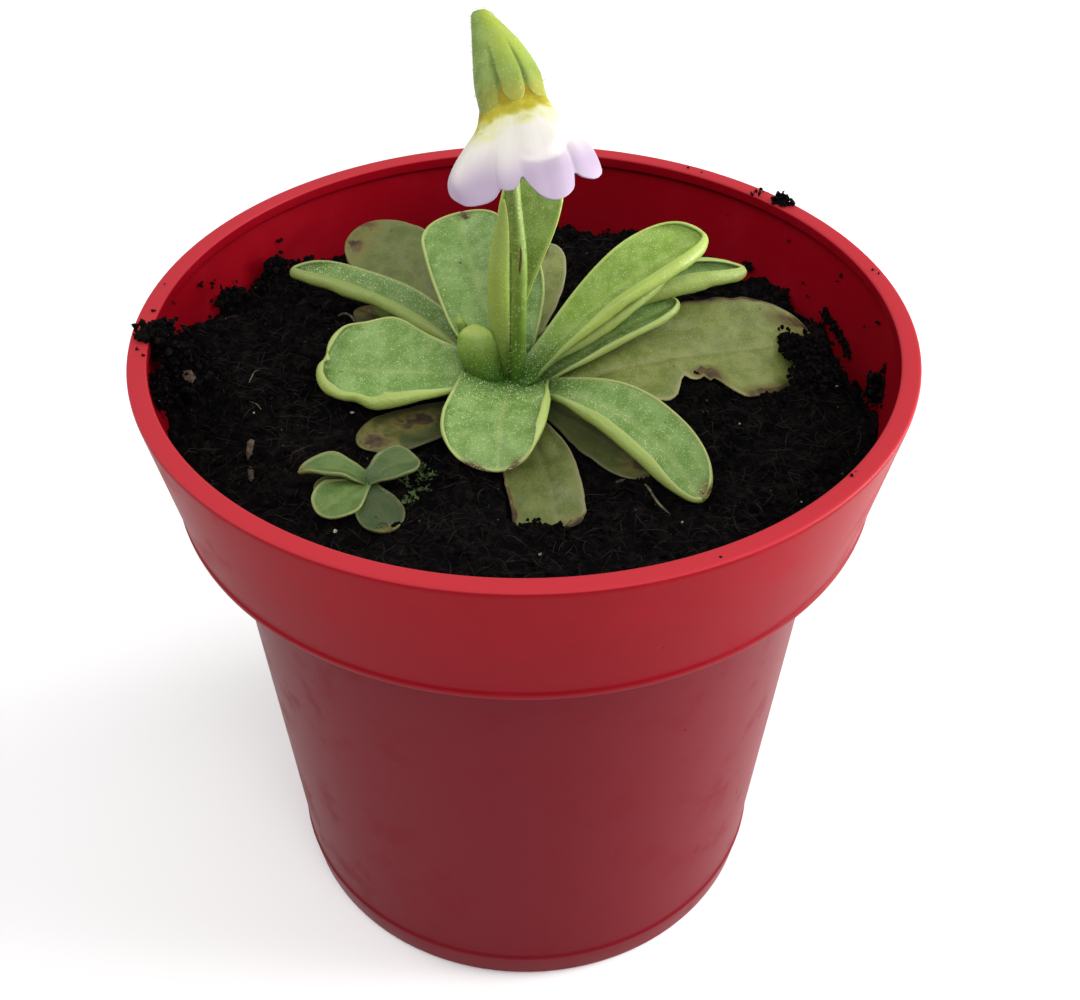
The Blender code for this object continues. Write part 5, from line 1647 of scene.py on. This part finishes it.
draw = np.random.default_rng(7)
places, sizes = clumped(draw, *crumb_places(draw, SCATTERED_CRUMBS), CLUMPS, CRUMBS_IN_CLUMP)
settle_loose("soil_crumbs", [crumb_cloud(draw, places, sizes)], PEAT)

# %% [markdown]
# Fibres are what makes peat look like peat: thin dark strands, and here and there a paler one. Each is a
# three-sided tube that follows the crumbs' surface along a slightly bent line.

# %% Fibres
FIBRES = 2750


def fibre_cloud(draw, count, sections=6):
    """Three-sided tubes along bent lines that follow the soil, thinner towards both ends."""
    angle = draw.uniform(0, 2 * np.pi, count)
    radius = (INNER_RADIUS - 1.5) * np.sqrt(draw.uniform(0, 1, count))
    start = np.column_stack([radius * np.cos(angle), radius * np.sin(angle)])
    heading = draw.uniform(0, 2 * np.pi, count)
    length = draw.uniform(0.8, 5.0, count) ** 1.15
    bend = draw.normal(0, 0.7, count)
    t = np.linspace(0, 1, sections)
    facing = heading[:, None] + bend[:, None] * t[None]
    steps = np.stack([np.cos(facing), np.sin(facing)], -1) * (length / sections)[:, None, None]
    line = start[:, None] + np.cumsum(steps, 1)
    far = np.hypot(line[..., 0], line[..., 1]).max(1)
    lift = (0.25 + draw.uniform(0, 0.5, (count, 1)) * np.sin(np.pi * t)[None]
            + draw.uniform(0, 0.4, (count, 1)) * t[None])
    height = soil_height(line[..., 0], line[..., 1])
    height = height * 0.35 + height.mean(1, keepdims=True) * 0.65 + lift
    free = (leaf_over(line[..., 0], line[..., 1]) > height + 0.5).all(1) & (far < INNER_RADIUS - 0.6)
    line, height, facing = line[free], height[free], facing[free]
    thick = draw.uniform(0.03, 0.08, len(line))[:, None] * (1 - 0.75 * np.abs(2 * t - 1) ** 3)[None]
    spin = np.arange(3) * 2 * np.pi / 3
    across = np.stack([-np.sin(facing), np.cos(facing), np.zeros_like(facing)], -1)
    ring = (np.cos(spin)[None, None, :, None] * across[:, :, None]
            + np.sin(spin)[None, None, :, None] * np.array([0, 0, 1.0]))
    centre = np.concatenate([line, height[..., None]], -1)
    points = centre[:, :, None] + ring * thick[:, :, None, None]
    ends = np.array([[2, 1, 0], [3 * sections - 3, 3 * sections - 2, 3 * sections - 1]])
    return points.reshape(-1, 3), [repeated(faces, 3 * sections, len(points))
                                   for faces in (grid_faces(sections, 3, wrap=True), ends)]


points, face_sets = fibre_cloud(draw, FIBRES)
dark_fibre = two_tone("dark_fibre", 3.0, colour(22, 18, 17), colour(43, 35, 32), Roughness=0.9,
                      Specular_IOR_Level=0.15)[0]
settle(make_mesh("soil_fibres", points, face_sets, closed=False), dark_fibre, "peat")

# %% [markdown]
# ## Loose soil on the pot
# Potting leaves its traces: a clump on the rim at the left, a lump at the back right, and grains stuck to the
# inner wall. Each is a heap of the same crumbs, seated on the plastic that carries it.

# %% Clumps
# place, spread, number of crumbs and size of each heap that hangs from the lip to the soil
LEFT_HEAPS = (((-55.4, -1.2, 109.0), (1.0, 1.2, 1.0), 220, 0.5), ((-53.8, -1.6, 105.6), (1.1, 1.4, 1.7), 320, 0.55),
              ((-52.6, -1.6, 102.4), (1.6, 2.2, 1.2), 380, 0.55))


def heap(draw, middle, spread, count, size, floor):
    """Crumbs in a bell-shaped heap; none lies below its floor."""
    places = middle + draw.normal(size=(count, 3)) * np.array(spread)
    sizes = size * draw.uniform(0.5, 1.4, count)
    far = np.hypot(places[:, 0], places[:, 1])[:, None]
    places[:, :2] *= np.minimum(1, (RIM_RADIUS - 0.9) / far)
    places[:, 2] = np.maximum(places[:, 2], floor(places[:, 0], places[:, 1]) + 0.4 * sizes)
    return crumb_cloud(draw, places, sizes)


def polar(radius, angle, z):
    """The place at a radius, an angle in degrees and a height."""
    return np.array([radius * math.cos(math.radians(angle)), radius * math.sin(math.radians(angle)), z])


def rim_place(angle, inset, z):
    """A place on the pot's lip, at an angle and a distance in from the rim."""
    return polar(RIM_RADIUS - inset, angle, z)


def on_wall(angle, below, out):
    """A place near the pot's inner wall, at an angle and distances below the rim and out from the wall."""
    return polar(float(wall_inside(POT_HEIGHT - below)) - out, angle, POT_HEIGHT - below)


def on_rim(x, y):
    """The lip as a floor for crumbs."""
    return np.full_like(x, POT_HEIGHT + 0.05)


settle_loose("clump_back", [heap(draw, rim_place(40.4, 1.0, 110.7), (0.9, 0.9, 0.35), 90, 0.42, on_rim),
                            heap(draw, rim_place(45.0, 1.6, 110.4), (1.2, 0.6, 0.1), 16, 0.25, on_rim)],
             PEAT, "crumb_back")
settle_loose("clump_left", [heap(draw, rim_place(182.4, 2.8, 110.6), (1.1, 1.0, 0.4), 150, 0.45, on_rim)]
             + [heap(draw, np.array(middle), *given, soil_height) for middle, *given in LEFT_HEAPS],
             PEAT, "crumb_left")

# %% [markdown]
# Grains also cling to the inner wall and to the lip, a mound lies over the end of the largest old leaf, and
# crumbs pile up where the soil leans against the wall at the back left. Their places were estimated from the
# photo, as an angle round the pot and a distance below the rim.

# %% Loose soil
# angle, distance below the rim, size
WALL_SPECKS = ((26.4, 1.6, 0.5), (22.9, 4.9, 0.45), (23.2, 6.1, 0.3), (8.4, 5.1, 0.35), (138.6, 6.6, 0.5),
               (159.5, 5.1, 0.55), (156.0, 6.7, 0.6), (36.9, 5.3, 0.35), (12.0, 8.0, 0.25), (31, 10.5, 0.3),
               (29, 12, 0.3), (165, 2.2, 0.3), (168, 3.4, 0.25), (12.8, 1.4, 0.22), (10.6, 2.2, 0.22),
               (55, 12.6, 0.35), (54, 11.2, 0.3))
# angle and distance below the rim along a streak of grains
STREAK = ((24.0, 12.2), (22.2, 12.8), (20.0, 13.1), (17.6, 13.4), (15.2, 13.8), (12.4, 14.4))
# angle, distance below the rim, distance from the wall, spread, number, size
WALL_HEAPS = ((-0.6, 10.2, 0.8, (0.7, 1.0, 0.9), 90, 0.42), (-1.6, 12.4, 0.9, (0.8, 1.3, 1.0), 90, 0.42),
              (0.6, 8.0, 0.2, (0.2, 0.3, 0.5), 10, 0.25), (-172.6, 7.4, 1.0, (0.9, 1.3, 1.2), 200, 0.48),
              (-174.0, 5.6, 0.4, (0.5, 1.2, 0.6), 40, 0.36), (35.0, 14.2, 1.0, (0.9, 0.9, 0.4), 90, 0.4),
              (44.0, 12.9, 0.5, (0.5, 0.5, 0.35), 40, 0.32))
# angle, distance in from the rim, size
LIP_GRAINS = ((176, 2.2, 0.25), (183.5, 2.0, 0.3), (186, 1.4, 0.22), (188, 2.4, 0.2), (14.5, 1.2, 0.22),
              (15.6, 1.5, 0.2), (-40, 2.4, 0.2), (-38.8, 2.3, 0.16), (60, 1.4, 0.24), (57, 1.8, 0.2), (168, 1.6, 0.2))
# place, spread, number
MOUND = (((46.0, 8.6, 99.2), (1.5, 2.0, 0.7), 360), ((43.6, 10.6, 98.8), (0.8, 2.2, 0.5), 170),
         ((47.6, 4.4, 98.6), (1.4, 1.8, 0.7), 240), ((45.6, 4.0, 98.2), (1.7, 1.4, 0.5), 180),
         ((27.6, 5.0, 97.4), (0.3, 0.2, 0.1), 5))
# x, y, spread, number
EDGE = ((-51.2, 23.4, 0.9, 60), (-49.6, 24.4, 1.0, 90), (-47.2, 27.0, 0.9, 60), (-45.6, 30.4, 0.9, 80),
        (-43.9, 31.6, 0.7, 60), (-42.4, 32.4, 0.8, 80), (-39.4, 34.6, 1.1, 70), (-35.6, 38.0, 1.2, 70),
        (-32.2, 39.6, 1.0, 60))

heaps = [heap(draw, on_wall(angle, below, 0.2), (0.5 * size,) * 3, 7, 0.6 * size, soil_height)
         for angle, below, size in WALL_SPECKS]
heaps += [heap(draw, on_wall(angle + (angle_after - angle) * t, below + (below_after - below) * t, 0.3),
               (0.35, 0.35, 0.45), 12, 0.32, soil_height)
          for (angle, below), (angle_after, below_after) in zip(STREAK[:-1], STREAK[1:]) for t in (0, 0.33, 0.67)]
heaps += [heap(draw, on_wall(angle, below, out), *given, soil_height) for angle, below, out, *given in WALL_HEAPS]
heaps += [heap(draw, rim_place(angle, inset, 110.1), (0.15,) * 3, 3, size, on_rim)
          for angle, inset, size in LIP_GRAINS]
settle_loose("clinging_grains", heaps, PEAT)
settle_loose("mound_right", [heap(draw, np.array(middle), spread, count, 0.5, soil_height)
                             for middle, spread, count in MOUND], PEAT)
edge_draw = np.random.default_rng(47)
settle_loose("edge_back_left", [heap(edge_draw, np.array([x, y, ground_at(x, y) + 0.5]), (wide, wide, 0.55), count,
                                     0.5, soil_height) for x, y, wide, count in EDGE], PEAT)

# %% [markdown]
# A few bits in the peat aren't dark: splinters of bark and wood, pale grit, and dry stalks. Splinters are
# stretched crumbs, and stalks are thin tubes on smooth routes.

# %% Bits in the peat
STRAW_ROWS = 24
STRAW_SIDES = 8


def bits_material(name, first, second):
    """Dry plant matter in two tones."""
    material, tree, shader = two_tone(name, 1.2, first, second, Roughness=0.85, Specular_IOR_Level=0.15)
    bumped(tree, shader, grain(tree, 0.3, 1.2, 0.8), 0.6, 0.1)
    return material


def splinter(draw, row):
    """A crumb stretched to a length, a width and a height, and turned to a heading."""
    x, y, heading, length, width, high, lift = row
    corners, faces = icosahedron()
    shape = corners * draw.uniform(0.75, 1.1, (12, 1)) * np.array([length, width, high]) / 2
    c, s = math.cos(math.radians(heading)), math.sin(math.radians(heading))
    turn = np.array([[c, s, 0], [-s, c, 0], [0, 0, 1]])
    return shape @ turn + [x, y, ground_at(x, y) + 0.3 * high + lift], faces


def stalk_bit(name, places, lift, radius):
    """A thin tube through places on the soil, raised in its middle."""
    places = np.array(places, float)
    arch = lift * np.sin(np.pi * np.linspace(0, 1, len(places)))
    ground = soil_height(places[:, 0], places[:, 1])
    ground = np.maximum(ground, ground.mean()) + radius + 0.1 + arch
    route = smooth_route(np.column_stack([places, ground]), STRAW_ROWS)
    taper = radius * (1 - 0.6 * np.abs(np.linspace(-1, 1, STRAW_ROWS)) ** 4)
    return tube_piece(name, route, taper, STRAW_SIDES)[0]


# x, y, heading, length, width, height, lift
WOOD = ((-52.0, -3.6, -64, 6.8, 2.2, 1.2, 5.4), (-42.0, -13.0, -88, 7.0, 1.3, 0.9, 0.2),
        (-41.2, -18.4, -80, 4.6, 1.0, 0.8, 0.2), (14.1, -20.6, 20, 2.0, 0.8, 0.6, 0), (26, -16, 10, 1.6, 0.7, 0.5, 0),
        (-20, 33, 40, 1.6, 0.7, 0.5, 0))
GRIT = ((-11.5, 11.9, 20, 0.9, 0.6, 0.6, 0), (-9.4, 8.4, 60, 0.8, 0.6, 0.5, 0), (-21.3, -31.6, 0, 1.3, 0.9, 0.8, 0),
        (-27.3, -31.8, 40, 0.9, 0.7, 0.6, 0), (-27.2, -4.2, 10, 1.1, 0.7, 0.7, 0), (-50.0, 6.8, 0, 0.5, 0.4, 0.4, 0),
        (50.6, 4.6, 0, 0.7, 0.6, 0.6, 0), (33.6, -6.0, 0, 0.45, 0.4, 0.4, 0), (40.2, -27.0, 0, 0.5, 0.4, 0.4, 0),
        (-42.0, -6.4, 0, 0.45, 0.4, 0.4, 0), (22.6, -30.5, 30, 0.6, 0.5, 0.4, 0), (2.0, -38.0, 30, 0.6, 0.5, 0.4, 0))
for name, rows, tones in (("wood_splinters", WOOD, (colour(54, 44, 38), colour(90, 76, 64))),
                          ("pale_grit", GRIT, (colour(150, 138, 116), colour(206, 198, 180)))):
    settle_loose(name, [splinter(draw, row) for row in rows], bits_material(name, *tones))

# places, lift, radius
STRAWS = ((((-42.3, 3.6), (-42.8, 1.6), (-43.5, -0.4)), 0.5, 0.1),
          (((-43.0, -4.2), (-41.7, -4.9), (-40.9, -6.0)), 0.2, 0.1),
          (((-31.6, 21.6), (-30.6, 22.2), (-29.4, 21.4), (-28.6, 20.2)), 0.6, 0.22),
          (((17.7, -21.8), (18.2, -24.0), (19.3, -26.6), (20.9, -29.2)), 0.8, 0.2))
straws = [stalk_bit(f"straw_{k}", *row) for k, row in enumerate(STRAWS, 1)]
settle(join(straws, "dry_stalks"), bits_material("straw", colour(70, 62, 48), colour(108, 100, 76)), "peat")

# %% [markdown]
# ## Moss
# A small tuft of moss has come up beside the plantlet. Each shoot is a short thread that bends over, set all
# round with pointed leaflets. A leaflet is a thin body of six triangles, so a whole tuft costs little.

# %% Moss
# x, y, heading, length
MOSS_SHOOTS = ((-15.9, -19.4, 70, 2.6), (-16.2, -20.6, 20, 2.2), (-16.4, -21.8, -30, 2.4), (-16.9, -23.2, -70, 2.2),
               (-15.4, -18.6, 120, 1.8), (-17.2, -24.2, -110, 1.8), (-17.0, -21.2, 150, 1.6), (-14.8, -19.8, 30, 1.6),
               (-18.4, -15.8, 80, 1.4))


def moss_tuft(draw, shoots, leaflets=26):
    """Leaflets of six faces along bent shoots: a shoot rises, leans its own way and droops like a parabola."""
    shoots = np.array(shoots)
    s = np.tile(np.linspace(0.05, 1, leaflets), (len(shoots), 1))
    way = np.radians(shoots[:, 2:3] + draw.uniform(-20, 20, s.shape))
    reach = shoots[:, 3:4] * s
    x, y = shoots[:, 0:1] + np.cos(way) * reach, shoots[:, 1:2] + np.sin(way) * reach
    z = soil_height(x, y) + 0.2 + 1.5 * s - 0.9 * s ** 2
    feet = np.stack([x, y, z], -1).reshape(-1, 3)
    turn = draw.uniform(0, 2 * np.pi, len(feet))
    tips = np.stack([np.cos(turn), np.sin(turn), draw.uniform(0.1, 0.9, len(feet))], -1)
    tips = unit(tips) * draw.uniform(0.55, 0.95, (len(feet), 1))
    aside = unit(np.cross(tips, [0, 0, 1])) * 0.17
    under = np.array([0, 0, -0.05])
    corners = np.stack([feet, feet + tips * 0.4 + aside, feet + tips, feet + tips * 0.4 - aside,
                        feet + tips * 0.4 + under], 1)
    faces = np.array([(0, 2, 1), (0, 3, 2), (0, 1, 4), (1, 2, 4), (2, 3, 4), (3, 0, 4)])
    return corners.reshape(-1, 3), repeated(faces, 5, len(feet))


settle_loose("moss_tuft", [moss_tuft(np.random.default_rng(31), MOSS_SHOOTS)],
             bits_material("moss", colour(30, 44, 22), colour(78, 96, 54)))

# %% [markdown]
# ## Drops of glue
# Each gland on a leaf holds a drop of clear glue. A real leaf has tens of thousands. These are fewer and a
# little larger, eight-sided and half sunk into the skin, which is enough to catch the light in points.

# %% Drops
DROP_SPACING = 0.46
DROP_SIZE = 0.085


def drop_cloud(draw, names, spacing=DROP_SPACING, size=DROP_SIZE):
    """Drops over the upper faces of the named leaves, as many as their area asks for."""
    places = []
    for name in names:
        upper = leaf_faces[name]
        across = np.linalg.norm(np.diff(upper, axis=1), axis=2)[:-1]
        along = np.linalg.norm(np.diff(upper, axis=0), axis=2)[:, :-1]
        weight = across * along
        count = int(weight.sum() / spacing ** 2)
        chosen = draw.choice(weight.size, count, p=(weight / weight.sum()).ravel())
        r, c = np.unravel_index(chosen, weight.shape)
        s, t = draw.uniform(0, 1, (2, count, 1))
        low = upper[r, c] * (1 - t) + upper[r, c + 1] * t
        high = upper[r + 1, c] * (1 - t) + upper[r + 1, c + 1] * t
        places.append(low * (1 - s) + high * s)
    places = np.vstack(places)
    sizes = draw.uniform(0.6, 1.2, len(places)) * size
    points = OCTAHEDRON[None] * sizes[:, None, None] + places[:, None]
    return points.reshape(-1, 3), repeated(OCTAHEDRON_FACES, 6, len(places))


GLUE = two_tone("glue_drop", 0.8, colour(160, 180, 112), colour(210, 220, 176), Roughness=0.12,
                Specular_IOR_Level=0.8)[0]
for age in ("grown", "young"):
    points, faces = drop_cloud(draw, [name for name, blade in LEAVES.items() if blade["age"] == age])
    settle(make_mesh(f"drops_{age}", points, [faces]), GLUE, LEAF_SLOTS[age])

# %% [markdown]
# ## Floor and light
# The part stands on a plain pale floor, far wider than the camera sees.

# %% Floor
FLOOR_REACH = 4000.0


def floor_piece():
    """One square under the pot's foot, in two whites that are nearly the same."""
    corners = FLOOR_REACH * np.array([(-1, -1, 0), (1, -1, 0), (1, 1, 0), (-1, 1, 0)])
    floor = make_mesh("floor", corners, [np.array([[0, 1, 2, 3]])], closed=False, smooth=False)
    floor.data.materials.append(two_tone("pale_floor", 400.0, colour(246, 246, 246), colour(249, 249, 249), 0.3, 0.7,
                                         Roughness=0.9, Specular_IOR_Level=0.1)[0])


floor_piece()

# %% [markdown]
# The photo was taken in even daylight. Three large soft lights above and a bright sky give it, and the satin
# plastic picks up the pale reflection of a low one at its right.

# %% Lights
SKY_STRENGTH = 0.5
# name, place, aim, size in metres, power
LIGHTS = (("high_left", (-0.7, 0.1, 0.75), (0, 0, 0.1), (0.7, 0.7), 3.8),
          ("high_right", (0.7, 0.05, 0.75), (0, 0, 0.1), (0.7, 0.7), 3.8),
          ("high_front", (0.05, -0.6, 0.8), (0, 0, 0.1), (0.7, 0.5), 4.2),
          ("low_right", (0.55, 0.02, 0.12), (0, 0, 0.06), (0.3, 0.3), 5.0))


def sky(strength):
    """A white world of one strength."""
    world = bpy.data.worlds.new("sky")
    world.use_nodes = True
    background = world.node_tree.nodes["Background"].inputs
    background["Color"].default_value = (1, 1, 1, 1)
    background["Strength"].default_value = strength
    bpy.context.scene.world = world


def soft_light(name, place, aim, size, power):
    """A rectangular area light in metres, turned so that its -Z looks at its aim."""
    light = bpy.data.lights.new(name, "AREA")
    light.shape = "RECTANGLE"
    light.size, light.size_y = size
    light.energy = power
    item = bpy.data.objects.new(name, light)
    item.visible_camera = False
    item.location = place
    item.rotation_euler = (Vector(aim) - Vector(place)).to_track_quat("-Z", "Y").to_euler()
    bpy.context.scene.collection.objects.link(item)


sky(SKY_STRENGTH)
for light in LIGHTS:
    soft_light(*light)
bpy.context.scene.view_settings.view_transform = "Standard"

# %% [markdown]
# ## Sizes
# The last cell prints how many triangles the new pieces have in all.

# %% Finish
print("triangles in all:", sum(TALLY.values()))
